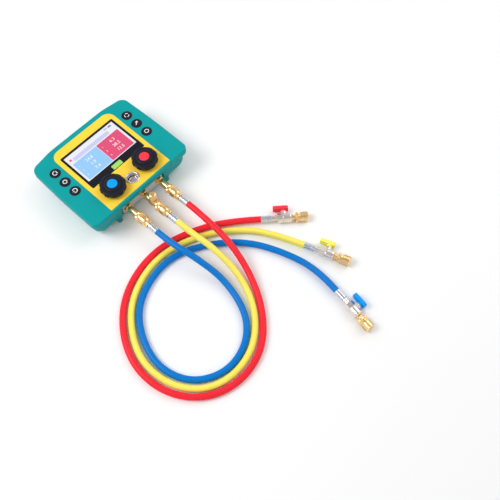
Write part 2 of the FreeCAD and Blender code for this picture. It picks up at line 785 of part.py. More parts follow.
def tee_cap():
    y = middle_port_tip + tee_setback
    base, radius = tee_cap_base(), tee_cap_radius
    waist = tee_cap_bore_depth() + 1.0
    profile = [(0.0, radius - 0.4), (0.5, radius), (waist, radius), (waist + 0.8, radius - 1.0),
               (waist + 2.0, radius - 1.0), (waist + 3.0, radius), (tee_cap_height - 2.0, radius),
               (tee_cap_height, radius - 2.2)]
    cap = spun(profile, Vector(0, y, base), up)
    return cap.cut(disc(flare_thread_radius + fit, base - 1, base + tee_cap_bore_depth(), 0, y))


def pressure_sensors():
    sensors = []
    for x, y in sensor_places:
        profile = [(0.0, sensor_radius), (sensor_length - 3, sensor_radius), (sensor_length - 3, sensor_radius - 2.5),
                   (sensor_length, sensor_radius - 2.5)]
        sensors.append(spun(profile, Vector(x, y, port_z), Vector(0, 1, 0)))
    return Part.makeCompound(sensors)


def battery_cells():
    cells = []
    radius = battery_radius
    z = back_z + door_thickness + radius + bay_slack
    for side in (-1, 1):
        for row in (-1, 1):
            start = Vector(side * (battery_length + battery_nub + 1.2), bay_row + row * (radius + bay_slack), z)
            profile = [(0.0, radius), (battery_length, radius), (battery_length, radius / 3),
                       (battery_length + battery_nub, radius / 3)]
            cells.append(spun(profile, start, Vector(-side, 0, 0)))
    return Part.makeCompound(cells)


def battery_door():
    return door_blank(0.0, back_z, back_z + door_thickness)


def hanging_bail():
    """Wire bail folded into its pocket; its bent ends are the pivot pins."""
    start, end = bail_axis(-fit)
    z = start.z
    low = bail_row - bail_reach
    half = bail_width / 2 - bail_wire_radius
    bend = bail_bend_radius
    path = [Vector(-half, bail_row, z), Vector(-half, low + bend, z), Vector(-half + bend, low, z),
            Vector(half - bend, low, z), Vector(half, low + bend, z), Vector(half, bail_row, z)]
    corner = bend * (1 - math.sqrt(0.5))
    edges = [Part.LineSegment(path[0], path[1]).toShape(),
             Part.Arc(path[1], Vector(-half + corner, low + corner, z), path[2]).toShape(),
             Part.LineSegment(path[2], path[3]).toShape(),
             Part.Arc(path[3], Vector(half - corner, low + corner, z), path[4]).toShape(),
             Part.LineSegment(path[4], path[5]).toShape()]
    section = Part.Wire(Part.makeCircle(bail_wire_radius, path[0], Vector(0, -1, 0)))
    wire = Part.Wire(edges).makePipeShell([section], True, False)
    left_pin = rod(bail_wire_radius, start, Vector(-half, bail_row, z))
    right_pin = rod(bail_wire_radius, Vector(half, bail_row, z), end)
    knuckles = [Part.makeSphere(bail_wire_radius, Vector(side * half, bail_row, z)) for side in (-1, 1)]
    return joined([wire, left_pin, right_pin] + knuckles)


def rubber_feet():
    return Part.makeCompound([disc(foot_radius, 0.0, back_z + foot_recess, x, y) for x, y in foot_places()])


def screw(x, y, seat_z, tip_z):
    """Pan screw driven upwards, its head below seat_z, with a cross recess."""
    head = disc(screw_head_radius, seat_z - screw_head_height, seat_z, x, y)
    shank = disc(screw_shank_radius, seat_z, tip_z, x, y)
    low = seat_z - screw_head_height
    slots = [box((x - 1.8, y - 0.4, low - 1), (x + 1.8, y + 0.4, low + 0.8)),
             box((x - 0.4, y - 1.8, low - 1), (x + 0.4, y + 1.8, low + 0.8))]
    return head.fuse(shank).removeSplitter().cut(Part.makeCompound(slots))


def screws(places, seat_z, tip_z):
    return Part.makeCompound([screw(x, y, seat_z, tip_z) for x, y in places])


def probe_sockets():
    sockets = []
    for x, y in socket_places:
        body = socket_block(x, 0.0)
        bounds = body.BoundBox
        z = back_z + socket_level
        slots = []
        for side in (-1, 1):
            centre = x + side * socket_slot_pitch / 2
            slots.append(box((centre - socket_slot_width / 2, bounds.YMax - 9, z - socket_slot_height / 2),
                             (centre + socket_slot_width / 2, bounds.YMax + 1, z + socket_slot_height / 2)))
        sockets.append(body.cut(Part.makeCompound(slots)))
    return Part.makeCompound(sockets)


def near_coupler(x, tip_y):
    """Knurled hand nut that holds a hose on its port."""
    start = Vector(x, tip_y + coupler_engagement, port_z)
    radius, length = coupler_radius, coupler_length
    flange = coupler_flange_length
    profile = [(0.0, radius + 0.1), (0.4, radius + 0.5), (flange - 0.4, radius + 0.5), (flange, radius - 0.6),
               (flange + 2.0, coupler_neck_radius + 0.4), (flange + 4.5, radius - 0.6), (flange + 7.0, radius - 0.1),
               (length - 9.4, radius - 0.1), (length - 6.4, radius - 0.8), (length - 5.2, coupler_neck_radius - 0.5),
               (length - 4.4, coupler_neck_radius - 0.5), (length - 3.8, coupler_neck_radius + 0.3),
               (length - 0.5, coupler_neck_radius + 0.3), (length, coupler_neck_radius - 0.2)]
    nut = spun(profile, start, away)
    inner = coupler_engagement + end_gap + tail_head_length
    thread = rod(flare_thread_radius + fit, start - away, start + away * inner)
    tail_hole = rod(tail_radius + fit, start, start + away * (length + 1))
    return nut.cut(Part.makeCompound([thread, tail_hole]))


def hose_tail(head_start, axis, hose_face):
    """Barbed tail: flared head inside the coupler, stem through the ferrule to the hose."""
    head = rod(tail_head_radius, head_start, head_start + axis * tail_head_length)
    stem_part = rod(tail_radius, head_start, hose_face)
    bore = rod(tail_bore_radius, head_start - axis, hose_face + axis)
    return head.fuse(stem_part).removeSplitter().cut(bore)


def ferrule(start, axis):
    """Crimped sleeve between a coupler or a valve and its hose."""
    radius, length = ferrule_radius, ferrule_length
    spacing = length / (ferrule_grooves + 1)
    profile = [(0.0, radius - 0.5), (0.6, radius)]
    for groove in range(ferrule_grooves):
        middle = spacing * (groove + 1)
        half = ferrule_groove_width / 2
        profile += [(middle - half, radius), (middle - half * 0.6, radius - ferrule_groove_depth),
                    (middle + half * 0.6, radius - ferrule_groove_depth), (middle + half, radius)]
    profile += [(length - 0.6, radius), (length, radius - 0.5)]
    sleeve = spun(profile, start, axis)
    return sleeve.cut(rod(tail_radius + fit, start - axis, start + axis * (length + 1)))


def far_nipple(start, axis):
    """Brass end of a shut-off valve: plug in the body, stem, and flared head in the coupler."""
    plug = rod(valve_seat_bore - fit, start - axis * 6.0, start)
    stem_part = rod(tail_radius, start, start + axis * (nipple_length + far_coupler_length - far_thread_depth))
    collar = rod(tail_radius + 1.6, start, start + axis * 2.0)
    head_end = nipple_length + far_coupler_length - far_thread_depth
    head = rod(tail_head_radius, start + axis * (head_end - tail_head_length), start + axis * head_end)
    bore = rod(tail_bore_radius, start - axis * 7.0, start + axis * (head_end + 1))
    return plug.multiFuse([stem_part, collar, head]).removeSplitter().cut(bore)


def far_coupler(start, axis):
    """Knurled swivel nut at the free end, open at its mouth."""
    radius, length = coupler_radius - 0.1, far_coupler_length
    flange = far_flange_length
    profile = [(0.0, radius - 0.5), (0.5, radius), (flange, radius), (flange + 1.0, coupler_neck_radius),
               (flange + 3.0, coupler_neck_radius), (flange + 4.5, radius - 0.2), (length - 1.6, radius - 0.1),
               (length, radius - 1.4)]
    nut = spun(profile, start, axis)
    thread_start = length - far_thread_depth
    mouth = rod(far_thread_radius, start + axis * thread_start, start + axis * (length + 1))
    relief = rod(far_thread_radius + 0.4, start + axis * (thread_start - tail_head_length - end_gap),
                 start + axis * thread_start)
    neck = rod(tail_radius + fit, start - axis, start + axis * thread_start)
    return nut.cut(Part.makeCompound([mouth, relief, neck]))


def valve_body(start, axis, side):
    """Nickel body: neck, hexagon and barrel along the hose, with a boss for the stem."""
    hexagon_start = valve_neck_length
    barrel_start = hexagon_start + valve_hex_length
    length = valve_neck_length + valve_body_length
    radius = valve_body_radius
    profile = [(0.0, valve_neck_radius - 0.3), (0.4, valve_neck_radius), (hexagon_start, valve_neck_radius),
               (hexagon_start, radius - 1.6), (barrel_start, radius - 1.6), (barrel_start, radius - 0.6),
               (barrel_start + 0.8, radius), (length - 2.4, radius), (length, radius - 2.0)]
    body = spun(profile, start, axis)
    nut = hex_prism(valve_hex, start + axis * hexagon_start, axis, valve_hex_length)
    ball = ball_centre(start, axis)
    boss = rod(valve_boss_radius, ball, ball + side * valve_boss_reach)
    whole = body.multiFuse([nut, boss]).removeSplitter()
    cuts = [rod(valve_seat_bore, ball - axis * 3.0, start + axis * (length + 1)),
            Part.makeSphere(valve_seat_bore, ball - axis * 1.0),
            rod(valve_port_radius, start - axis, ball),
            rod(valve_stem_radius + fit / 2, ball, ball + side * (valve_boss_reach + 1))]
    return whole.cut(Part.makeCompound(cuts))


def ball_centre(start, axis):
    return start + axis * (valve_neck_length + valve_body_length / 2 - 1.0)


def valve_ball(start, axis, side):
    """Drilled ball and the stem that turns it, two pieces that turn together."""
    centre = ball_centre(start, axis)
    ball = Part.makeSphere(valve_ball_radius, centre)
    slot_depth = 1.6
    slot_start = centre + side * (valve_ball_radius - slot_depth)
    ball = ball.cut(rod(valve_port_radius, centre - axis * 8, centre + axis * 8))
    ball = ball.cut(rod(valve_stem_radius + fit, slot_start, slot_start + side * 4))
    shaft = rod(valve_stem_radius, slot_start + side * fit, centre + side * (valve_boss_reach + lever_stem_depth))
    return Part.makeCompound([ball, shaft])


def valve_lever(start, axis, side):
    """Plastic handle along the hose when the valve is open."""
    centre = ball_centre(start, axis)
    inner = lever_reach - lever_thickness
    width = lever_width / 2
    corners = []
    for along, across in ((-lever_back, -width), (lever_front, -width), (lever_front, width), (-lever_back, width)):
        corners.append(centre + side * inner + axis * along + up * across)
    plate = Part.Face(rounded_wire(corners, [lever_corner_radius] * 4)).extrude(side * lever_thickness)
    hub_start = valve_boss_reach + end_gap
    hub = rod(lever_hub_radius, centre + side * hub_start, centre + side * (inner + 1))
    bore = rod(valve_stem_radius + fit / 2, centre + side * (hub_start - 1),
               centre + side * (valve_boss_reach + lever_stem_depth + end_gap))
    return plate.fuse(hub).removeSplitter().cut(bore)


# Hose routes after the straight lead out of each ferrule, from the gauge to the shut-off valve.
# They pass over the hoses' far ends, come down to the table and loop round once, side by side.
hose_leads = {"low": 30.0, "centre": 30.0, "high": 33.0}
hose_routes = {
    "low": [(-28, -204.5, 28), (-18, -262.5, 9), (-35, -327.5, 5.5), (-73, -363.5, 5.5), (-125, -371.5, 5.5),
            (-172, -344.5, 5.5), (-191, -294.5, 5.5), (-179, -242.5, 5.5), (-147, -196.5, 5.5), (-96, -173.5, 5.5),
            (-42, -171.5, 5.5), (12, -199.5, 5.5), (58, -244.5, 5.5), (84, -302.5, 5.5), (96, -364.5, 8.6),
            (87.6, -411.2, 8.6)],
    "centre": [(5, -222.5, 28), (3, -280.5, 11), (-21, -334.5, 5.5), (-66, -373.5, 5.5), (-119, -383.5, 5.5),
               (-166, -367.5, 5.5), (-197, -325.5, 5.5), (-203, -271.5, 5.5), (-186, -226.5, 5.5),
               (-150, -183.5, 5.5), (-97, -159.5, 5.5), (-43, -157.5, 5.5), (15, -179.5, 5.5), (62, -214.5, 5.5),
               (95, -261.5, 8.6), (115.6, -319.8, 8.6)],
    "high": [(31, -228.5, 28), (17, -288.5, 11), (-14, -344.5, 5.5), (-60, -385.5, 5.5), (-115, -397.5, 5.5),
             (-170, -380.5, 5.5), (-207, -335.5, 5.5), (-217, -278.5, 5.5), (-201, -223.5, 5.5),
             (-159, -173.5, 5.5), (-104, -148.5, 5.5), (-44, -144.5, 5.5), (18, -165.5, 5.5), (66, -198.5, 8.6),
             (103.5, -234.4, 8.6)]}
hose_ports = {"low": (-port_spacing, side_port_tip), "centre": (0.0, middle_port_tip),
              "high": (port_spacing, side_port_tip)}


def near_ferrule_start(name):
    x, tip = hose_ports[name]
    return Vector(x, tip + coupler_engagement - coupler_length - end_gap, port_z)


def hose_points(name):
    start = near_ferrule_start(name) + away * ferrule_length
    lead = start + away * hose_leads[name]
    return [start, lead] + [Vector(*point) for point in hose_routes[name]]


def hose(name):
    """Hose as straight runs joined by tangent arcs."""
    points = hose_points(name)
    edges = []
    radii = []
    last = points[0]
    for before, corner, after in zip(points, points[1:], points[2:]):
        back, ahead = before - corner, after - corner
        reach = hose_bend_share * min(back.Length, ahead.Length)
        back.normalize()
        ahead.normalize()
        turn = math.pi - back.getAngle(ahead)
        radius = reach / math.tan(turn / 2)
        bend_start, bend_end = corner + back * reach, corner + ahead * reach
        middle = corner + (back + ahead).normalize() * (radius / math.cos(turn / 2) - radius)
        edges.append(Part.LineSegment(last, bend_start).toShape())
        edges.append(Part.Arc(bend_start, middle, bend_end).toShape())
        radii.append(round(radius))
        last = bend_end
    edges.append(Part.LineSegment(last, points[-1]).toShape())
    path = Part.Wire(edges)
    section = Part.Wire(Part.makeCircle(hose_radius, points[0], away))
    tube = path.makePipeShell([section], True, False)
    expected = math.pi * hose_radius ** 2 * path.Length
    print(name, "hose: length", round(path.Length, 1), "bend radii", radii,
          "volume over section times length", round(tube.Volume / expected, 4))
    return tube


def far_end(name):
    """Where a hose meets its valve, the way it points, and the side its lever is on."""
    points = hose_points(name)
    axis = (points[-1] - points[-2]).normalize()
    return points[-1], axis, up.cross(axis)


nodes = {
    "front_shell": front_shell(),
    "rear_shell": rear_shell(),
    "face_panel": face_panel(),
    "screen_bezel": screen_bezel(),
    "display_window": display_window(),
    "display_module": display_module(),
    "badge_plate": badge_plate(),
    "main_board": main_board(),
    "keypad_mat": keypad_mat(),
    "button_bezels": button_bezels(),
    "manifold_block": manifold_block(),
    "valve_bonnets": valve_bonnets(),
    "sight_glass_ring": sight_glass_ring(),
    "sight_glass_nut": sight_glass_nut(),
    "sight_glass_lens": sight_glass_lens(),
    "centre_port_tee": centre_port_tee(),
    "tee_cap": tee_cap(),
    "pressure_sensors": pressure_sensors(),
    "battery_cells": battery_cells(),
    "battery_door": battery_door(),
    "hanging_bail": hanging_bail(),
    "rubber_feet": rubber_feet(),
    "probe_sockets": probe_sockets(),
    "shell_screws": screws(shell_screw_places, back_z + shell_screw_seat, inner_face_z - 1.5),
    "block_screws": screws(block_screw_places, block_screw_seat, block_screw_tip),
}

for (x, y), position in zip(button_places, ("left_top", "left_middle", "left_bottom",
                                            "right_top", "right_middle", "right_bottom")):
    nodes[position + "_button"] = button(x, y)

for (x, y), name in zip(valve_places, ("low", "high")):
    nodes[name + "_knob"] = knob(x, y)
    nodes[name + "_knob_cap"] = knob_cap(x, y)
    nodes[name + "_stem"] = stem(x, y)
    nodes[name + "_piston"] = piston(x, y)
    nodes[name + "_port"] = port_fitting(*hose_ports[name])

near_couplers = []
tails = []
ferrules = []
nipples = []
for name in hose_routes:
    x, tip = hose_ports[name]
    near_couplers.append(near_coupler(x, tip))
    sleeve_start = near_ferrule_start(name)
    hose_face = sleeve_start + away * ferrule_length
    tails.append(hose_tail(Vector(x, tip - end_gap, port_z), away, hose_face))
    ferrules.append(ferrule(sleeve_start, away))
    nodes[name + "_hose"] = hose(name)
    end, axis, side = far_end(name)
    ferrules.append(ferrule(end, axis))
    valve_start = end + axis * (ferrule_length + end_gap)
    nodes[name + "_valve_body"] = valve_body(valve_start, axis, side)
    nodes[name + "_valve_ball"] = valve_ball(valve_start, axis, side)
    nodes[name + "_valve_lever"] = valve_lever(valve_start, axis, side)
    nipple_start = valve_start + axis * (valve_neck_length + valve_body_length)
    nipples.append(far_nipple(nipple_start, axis))
    nodes[name + "_far_coupler"] = far_coupler(nipple_start + axis * nipple_length, axis)
nodes["near_couplers"] = Part.makeCompound(near_couplers)
nodes["hose_tails"] = Part.makeCompound(tails)
nodes["ferrules"] = Part.makeCompound(ferrules)
nodes["valve_nipples"] = Part.makeCompound(nipples)

os.makedirs("parts", exist_ok=True)
for name, shape in nodes.items():
    if not shape.isValid():
        print("not valid:", name)
    shape.exportStep("parts/" + name + ".step")
print(len(nodes), "nodes written")
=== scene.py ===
import bpy
import bmesh
import json
import math
from mathutils import Matrix, Vector


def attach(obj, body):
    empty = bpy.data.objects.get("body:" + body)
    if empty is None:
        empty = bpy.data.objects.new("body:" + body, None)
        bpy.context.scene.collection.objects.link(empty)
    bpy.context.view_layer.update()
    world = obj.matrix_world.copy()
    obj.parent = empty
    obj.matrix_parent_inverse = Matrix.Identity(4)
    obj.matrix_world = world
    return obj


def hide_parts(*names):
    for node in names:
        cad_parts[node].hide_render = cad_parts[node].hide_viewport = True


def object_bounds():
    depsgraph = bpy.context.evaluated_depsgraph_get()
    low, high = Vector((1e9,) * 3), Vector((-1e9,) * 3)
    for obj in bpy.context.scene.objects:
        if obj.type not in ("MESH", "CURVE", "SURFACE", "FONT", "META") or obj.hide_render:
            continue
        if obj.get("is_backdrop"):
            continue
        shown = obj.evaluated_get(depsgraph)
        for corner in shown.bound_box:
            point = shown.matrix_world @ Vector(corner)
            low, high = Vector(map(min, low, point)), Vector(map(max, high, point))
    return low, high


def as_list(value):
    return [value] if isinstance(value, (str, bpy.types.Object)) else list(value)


# Refrigerant manifold gauge on a pale table, its three hoses looped below it.
# Sizes are in mm. The hoses' lengths, the camera, the lamps and the table are in metres.

mm = 0.001
tiny = 0.001  # in mm, less than any real distance
up = Vector((0, 0, 1))

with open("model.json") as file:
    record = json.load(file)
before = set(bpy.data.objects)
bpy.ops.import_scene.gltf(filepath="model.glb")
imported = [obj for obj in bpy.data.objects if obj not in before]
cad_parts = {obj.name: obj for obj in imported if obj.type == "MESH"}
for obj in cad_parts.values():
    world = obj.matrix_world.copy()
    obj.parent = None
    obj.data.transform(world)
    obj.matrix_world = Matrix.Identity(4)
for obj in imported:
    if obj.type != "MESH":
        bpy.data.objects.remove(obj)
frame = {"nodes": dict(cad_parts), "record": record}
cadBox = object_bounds()
scene = bpy.context.scene


# Camera

view = {"place": (-0.2954, -0.5715, 0.9528), "right": (0.6720, -0.7406, 0.0),
        "up": (0.6646, 0.6031, 0.4412), "back": (-0.3268, -0.2965, 0.8974),
        "lens": 46.0, "sensor": 36.0, "farthest": 50.0}


def addCamera():
    data = bpy.data.cameras.new("camera")
    data.lens = view["lens"]
    data.sensor_width = view["sensor"]
    data.clip_end = view["farthest"]
    camera = bpy.data.objects.new("camera", data)
    turn = Matrix((view["right"], view["up"], view["back"])).transposed()
    camera.matrix_world = Matrix.Translation(view["place"]) @ turn.to_4x4()
    scene.collection.objects.link(camera)
    scene.camera = camera


# Shader helpers

def shaderNode(tree, kind, links=None, **values):
    made = tree.nodes.new(kind)
    for name, value in values.items():
        setattr(made, name, value)
    for name, value in (links or {}).items():
        socket = made.inputs[name]
        if isinstance(value, bpy.types.NodeSocket):
            tree.links.new(value, socket)
        else:
            socket.default_value = value
    return made


def newMaterial(name, colour, roughness, metallic=0.0, **settings):
    material = bpy.data.materials.new(name)
    material.use_nodes = True
    material.diffuse_color = (*colour, 1.0)
    shader = material.node_tree.nodes["Principled BSDF"]
    shader.inputs["Base Color"].default_value = (*colour, 1.0)
    shader.inputs["Roughness"].default_value = roughness
    shader.inputs["Metallic"].default_value = metallic
    for socket, value in settings.items():
        shader.inputs[socket.replace("_", " ")].default_value = value
    return material


def scaled(colour, amount):
    return tuple(min(1.0, channel * amount) for channel in colour) + (1.0,)


def ramped(tree, source, low, high):
    # low and high are each a place on the ramp and its colour
    ramp = shaderNode(tree, "ShaderNodeValToRGB", {"Fac": source})
    for element, (position, colour) in zip(ramp.color_ramp.elements, (low, high)):
        element.position = position
        element.color = colour
    return ramp.outputs["Color"]


def tint(material, source, colour, spread):
    # patches a little darker and lighter than the colour
    tree = material.node_tree
    patches = ramped(tree, source, (0.3, scaled(colour, 1 - spread)), (0.7, scaled(colour, 1 + spread)))
    tree.links.new(patches, tree.nodes["Principled BSDF"].inputs["Base Color"])


def roughen(material, source, low, high):
    tree = material.node_tree
    span = shaderNode(tree, "ShaderNodeMapRange", {"Value": source, "To Min": low, "To Max": high})
    tree.links.new(span.outputs["Result"], tree.nodes["Principled BSDF"].inputs["Roughness"])


def bump(material, source, strength, depth):
    tree = material.node_tree
    raised = shaderNode(tree, "ShaderNodeBump",
                        {"Height": source, "Strength": strength, "Distance": depth * mm})
    tree.links.new(raised.outputs["Normal"], tree.nodes["Principled BSDF"].inputs["Normal"])


def noiseOn(material, scale, detail=3.0):
    tree = material.node_tree
    place = shaderNode(tree, "ShaderNodeTexCoord").outputs["Object"]
    noise = shaderNode(tree, "ShaderNodeTexNoise", {"Vector": place, "Scale": scale, "Detail": detail})
    return noise.outputs["Fac"]


def calculate(tree, operation, first, second):
    return shaderNode(tree, "ShaderNodeMath", {0: first, 1: second}, operation=operation).outputs["Value"]


def isSeen(tree):
    # 1 for what the camera sees itself, in a bright surface or through glass, and 0 for light on the gauge
    ray = shaderNode(tree, "ShaderNodeLightPath").outputs
    mirrored = calculate(tree, "MAXIMUM", ray["Is Glossy Ray"], ray["Is Transmission Ray"])
    return calculate(tree, "MAXIMUM", ray["Is Camera Ray"], mirrored)


# Finishes, one for each material slot: grain is the size of the fine texture and depth its relief

plastics = {
    "teal_shell": {"colour": (0.0, 0.325, 0.332), "roughness": 0.40, "grain": 0.55, "depth": 0.035},
    "yellow_panel": {"colour": (1.0, 0.665, 0.055), "roughness": 0.36, "grain": 0.45, "depth": 0.015},
    "black_gloss": {"colour": (0.012, 0.012, 0.020), "roughness": 0.22, "grain": 0.8, "depth": 0.004},
    "green_badge": {"colour": (0.36, 0.68, 0.15), "roughness": 0.30, "grain": 0.6, "depth": 0.01},
    "black_rubber": {"colour": (0.014, 0.014, 0.016), "roughness": 0.78, "grain": 0.5, "depth": 0.05},
    "black_soft_grip": {"colour": (0.014, 0.014, 0.024), "roughness": 0.38, "grain": 0.5, "depth": 0.03},
    "button_plastic": {"colour": (0.020, 0.018, 0.028), "roughness": 0.34, "grain": 0.5, "depth": 0.02},
    "blue_plastic": {"colour": (0.0, 0.34, 0.93), "roughness": 0.30, "grain": 0.6, "depth": 0.01},
    "red_plastic": {"colour": (0.96, 0.045, 0.065), "roughness": 0.30, "grain": 0.6, "depth": 0.01},
    "yellow_plastic": {"colour": (1.0, 0.93, 0.14), "roughness": 0.32, "grain": 0.6, "depth": 0.01},
    "battery_wrap": {"colour": (0.030, 0.032, 0.036), "roughness": 0.25, "grain": 2.0, "depth": 0.01},
    "low_hose_rubber": {"colour": (0.0, 0.185, 0.600), "roughness": 0.26, "grain": 1.3, "depth": 0.03},
    "centre_hose_rubber": {"colour": (0.97, 0.83, 0.130), "roughness": 0.26, "grain": 1.3, "depth": 0.03},
    "high_hose_rubber": {"colour": (0.90, 0.022, 0.040), "roughness": 0.26, "grain": 1.3, "depth": 0.03},
}

metals = {
    "brass": {"colour": (0.95, 0.66, 0.32), "roughness": 0.24, "spread": 0.06},
    "nickel": {"colour": (0.82, 0.76, 0.72), "roughness": 0.22, "spread": 0.05},
    "steel": {"colour": (0.62, 0.62, 0.63), "roughness": 0.28, "spread": 0.05},
    "ferrule_steel": {"colour": (0.68, 0.72, 0.78), "roughness": 0.22, "spread": 0.05},
    "block_aluminium": {"colour": (0.62, 0.60, 0.59), "roughness": 0.36, "spread": 0.05},
}

clears = {
    "window_glass": {"colour": (0.85, 0.90, 1.0), "roughness": 0.04, "Alpha": 0.03},
    "lens": {"colour": (0.62, 0.64, 0.68), "roughness": 0.12, "Transmission_Weight": 0.45, "IOR": 1.45},
}

flats = {
    "sign": {"colour": (0.90, 0.88, 0.90), "roughness": 0.40, "vary": 0.05, "wear": 300.0},
    "display": {"colour": (0.75, 0.78, 0.84), "roughness": 0.35, "vary": 0.05, "wear": 200.0},
}

# How each kind of surface varies: patches of colour and of wear to the metre, and how far they go
moulded = {"gloss": 0.15, "patches": 35.0, "spread": 0.035, "wear": 90.0, "smoother": 0.05, "rougher": 0.06,
           "relief": 0.5}
cast = {"patches": 120.0, "wear": 300.0, "smoother": 0.06, "rougher": 0.10, "grain": 1500.0, "relief": 0.25,
        "depth": 0.02}
turned = {"patches": 120.0, "marks": 5.0, "smoother": 0.05, "rougher": 0.12, "relief": 0.35, "depth": 0.03}
polished = {"waves": 40.0, "relief": 0.05, "depth": 0.02}


def wear(material, source, look, surface):
    roughen(material, source, look["roughness"] - surface["smoother"], look["roughness"] + surface["rougher"])


def plasticFinish(name, look):
    material = newMaterial(name, look["colour"], look["roughness"], Specular_IOR_Level=moulded["gloss"])
    tint(material, noiseOn(material, moulded["patches"]), look["colour"], moulded["spread"])
    wear(material, noiseOn(material, moulded["wear"]), look, moulded)
    bump(material, noiseOn(material, 1 / (look["grain"] * mm), 2.0), moulded["relief"], look["depth"])
    return material


def metalFinish(name, look):
    material = newMaterial(name, look["colour"], look["roughness"], 1.0)
    tint(material, noiseOn(material, cast["patches"]), look["colour"], look["spread"])
    wear(material, noiseOn(material, cast["wear"]), look, cast)
    bump(material, noiseOn(material, cast["grain"], 2.0), cast["relief"], cast["depth"])
    return material


def turnedFinish(name, look):
    # lathe marks run round the piece: along is each point's distance in mm down its axis
    material = newMaterial(name + "_turned", look["colour"], look["roughness"], 1.0)
    tree = material.node_tree
    along = shaderNode(tree, "ShaderNodeAttribute", attribute_name="along").outputs["Fac"]
    marks = shaderNode(tree, "ShaderNodeTexNoise", {"W": along, "Scale": turned["marks"], "Detail": 2.0},
                       noise_dimensions="1D").outputs["Fac"]
    tint(material, noiseOn(material, turned["patches"]), look["colour"], look["spread"])
    wear(material, marks, look, turned)
    bump(material, marks, turned["relief"], turned["depth"])
    return material


def clearFinish(name, look):
    material = newMaterial(name, **look)
    bump(material, noiseOn(material, polished["waves"]), polished["relief"], polished["depth"])
    return material


def flatFinish(name, look):
    material = newMaterial(name, look["colour"], look["roughness"])
    middle, vary = look["roughness"], look["vary"]
    roughen(material, noiseOn(material, look["wear"]), middle - vary, middle + vary)
    return material


board = {"colour": (0.010, 0.090, 0.035), "roughness": 0.35, "scale": 120.0, "line": 0.03, "darker": 0.9,
         "lighter": 1.1, "traces": 1.9, "relief": 0.4, "depth": 0.05}


def boardFinish():
    colour = board["colour"]
    material = newMaterial("circuit_board", colour, board["roughness"])
    tree = material.node_tree
    place = shaderNode(tree, "ShaderNodeTexCoord").outputs["Object"]
    traces = shaderNode(tree, "ShaderNodeTexBrick", {
        "Vector": place, "Scale": board["scale"], "Mortar Size": board["line"],
        "Color1": scaled(colour, board["darker"]), "Color2": scaled(colour, board["lighter"]),
        "Mortar": scaled(colour, board["traces"])})
    tree.links.new(traces.outputs["Color"], tree.nodes["Principled BSDF"].inputs["Base Color"])
    bump(material, traces.outputs["Fac"], board["relief"], board["depth"])
    return material


finishes = {}


def makeFinishes():
    for name, look in plastics.items():
        finishes[name] = plasticFinish(name, look)
    for name, look in metals.items():
        finishes[name] = metalFinish(name, look)
        finishes[name + "_turned"] = turnedFinish(name, look)
    for name, look in clears.items():
        finishes[name] = clearFinish(name, look)
    for name, look in flats.items():
        finishes[name] = flatFinish(name, look)
    finishes["circuit_board"] = boardFinish()


def slotOf(node):
    return next(part["material_slot"] for part in frame["record"]["subparts"] if part["node"] == node)


def dressNodes():
    for name, obj in frame["nodes"].items():
        obj.data.materials.clear()
        obj.data.materials.append(finishes[slotOf(name)])


# Mesh helpers

sharpAngles = {"flat": 35.0, "turned": 30.0, "knurled": 22.0, "rounded": 32.0, "ring": 40.0, "printed": 60.0,
               "moulded": 34.0}  # degrees past which an edge stays sharp
softEdges = {"segments": 2, "angle": 50.0}


def finish(obj, body, slot, material, nodes=()):
    obj.data.materials.append(material)
    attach(obj, body)
    if nodes:
        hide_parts(*nodes)
    return obj


def addPiece(name, bm, surface="flat"):
    mesh = bpy.data.meshes.new(name)
    bm.to_mesh(mesh)
    bm.free()
    mesh.polygons.foreach_set("use_smooth", [True] * len(mesh.polygons))
    mesh.set_sharp_from_angle(angle=math.radians(sharpAngles[surface]))
    obj = bpy.data.objects.new(name, mesh)
    scene.collection.objects.link(obj)
    return obj


def gathered(parts):
    whole = bmesh.new()
    for part in parts:
        mesh = bpy.data.meshes.new("part")
        part.to_mesh(mesh)
        part.free()
        whole.from_mesh(mesh)
        bpy.data.meshes.remove(mesh)
    return whole


def spun(profile, steps=72, closed=True):
    # outline of (distance along, radius) in mm, spun about the local z
    bm = bmesh.new()
    corners = [bm.verts.new((radius * mm, 0, along * mm)) for along, radius in profile]
    following = corners[1:] + corners[:1] if closed else corners[1:]
    edges = [bm.edges.new(pair) for pair in zip(corners, following)]
    bmesh.ops.spin(bm, geom=corners + edges, cent=(0, 0, 0), axis=(0, 0, 1), dvec=(0, 0, 0),
                   angle=2 * math.pi, steps=steps, use_merge=True, use_duplicate=False)
    bmesh.ops.remove_doubles(bm, verts=bm.verts, dist=tiny * mm)
    bmesh.ops.recalc_face_normals(bm, faces=bm.faces)
    layer = bm.verts.layers.float.new("along")
    for vert in bm.verts:
        vert[layer] = vert.co.z / mm
    return bm


def placed(bm, start, axis=up):
    turn = up.rotation_difference(Vector(axis)).to_matrix().to_4x4()
    bmesh.ops.transform(bm, matrix=Matrix.Translation(Vector(start) * mm) @ turn, verts=bm.verts)
    return bm


def reshape(bm, low, high, newRadius):
    # moves the points between low and high along the axis to the radius that newRadius gives
    for vert in bm.verts:
        along = vert.co.z / mm
        radius = math.hypot(vert.co.x, vert.co.y) / mm
        if low - tiny <= along <= high + tiny and radius > tiny:
            share = newRadius(radius, math.atan2(vert.co.y, vert.co.x), along) / radius
            vert.co.x *= share
            vert.co.y *= share


def flatRadius(angle, acrossFlats):
    return acrossFlats / 2 / math.cos(angle % (math.pi / 3) - math.pi / 6)


def hexRows(low, high, acrossFlats, chamfer):
    flat, corner = acrossFlats / 2, acrossFlats / math.sqrt(3)
    steps = (0.0, 0.35, 0.7, 1.0)
    start = [(low + chamfer * part, flat + (corner - flat) * part) for part in steps]
    return start + [(high - chamfer * part, flat + (corner - flat) * part) for part in reversed(steps)]


def hexFlats(bm, low, high, acrossFlats):
    reshape(bm, low, high, lambda radius, angle, along: min(radius, flatRadius(angle, acrossFlats)))


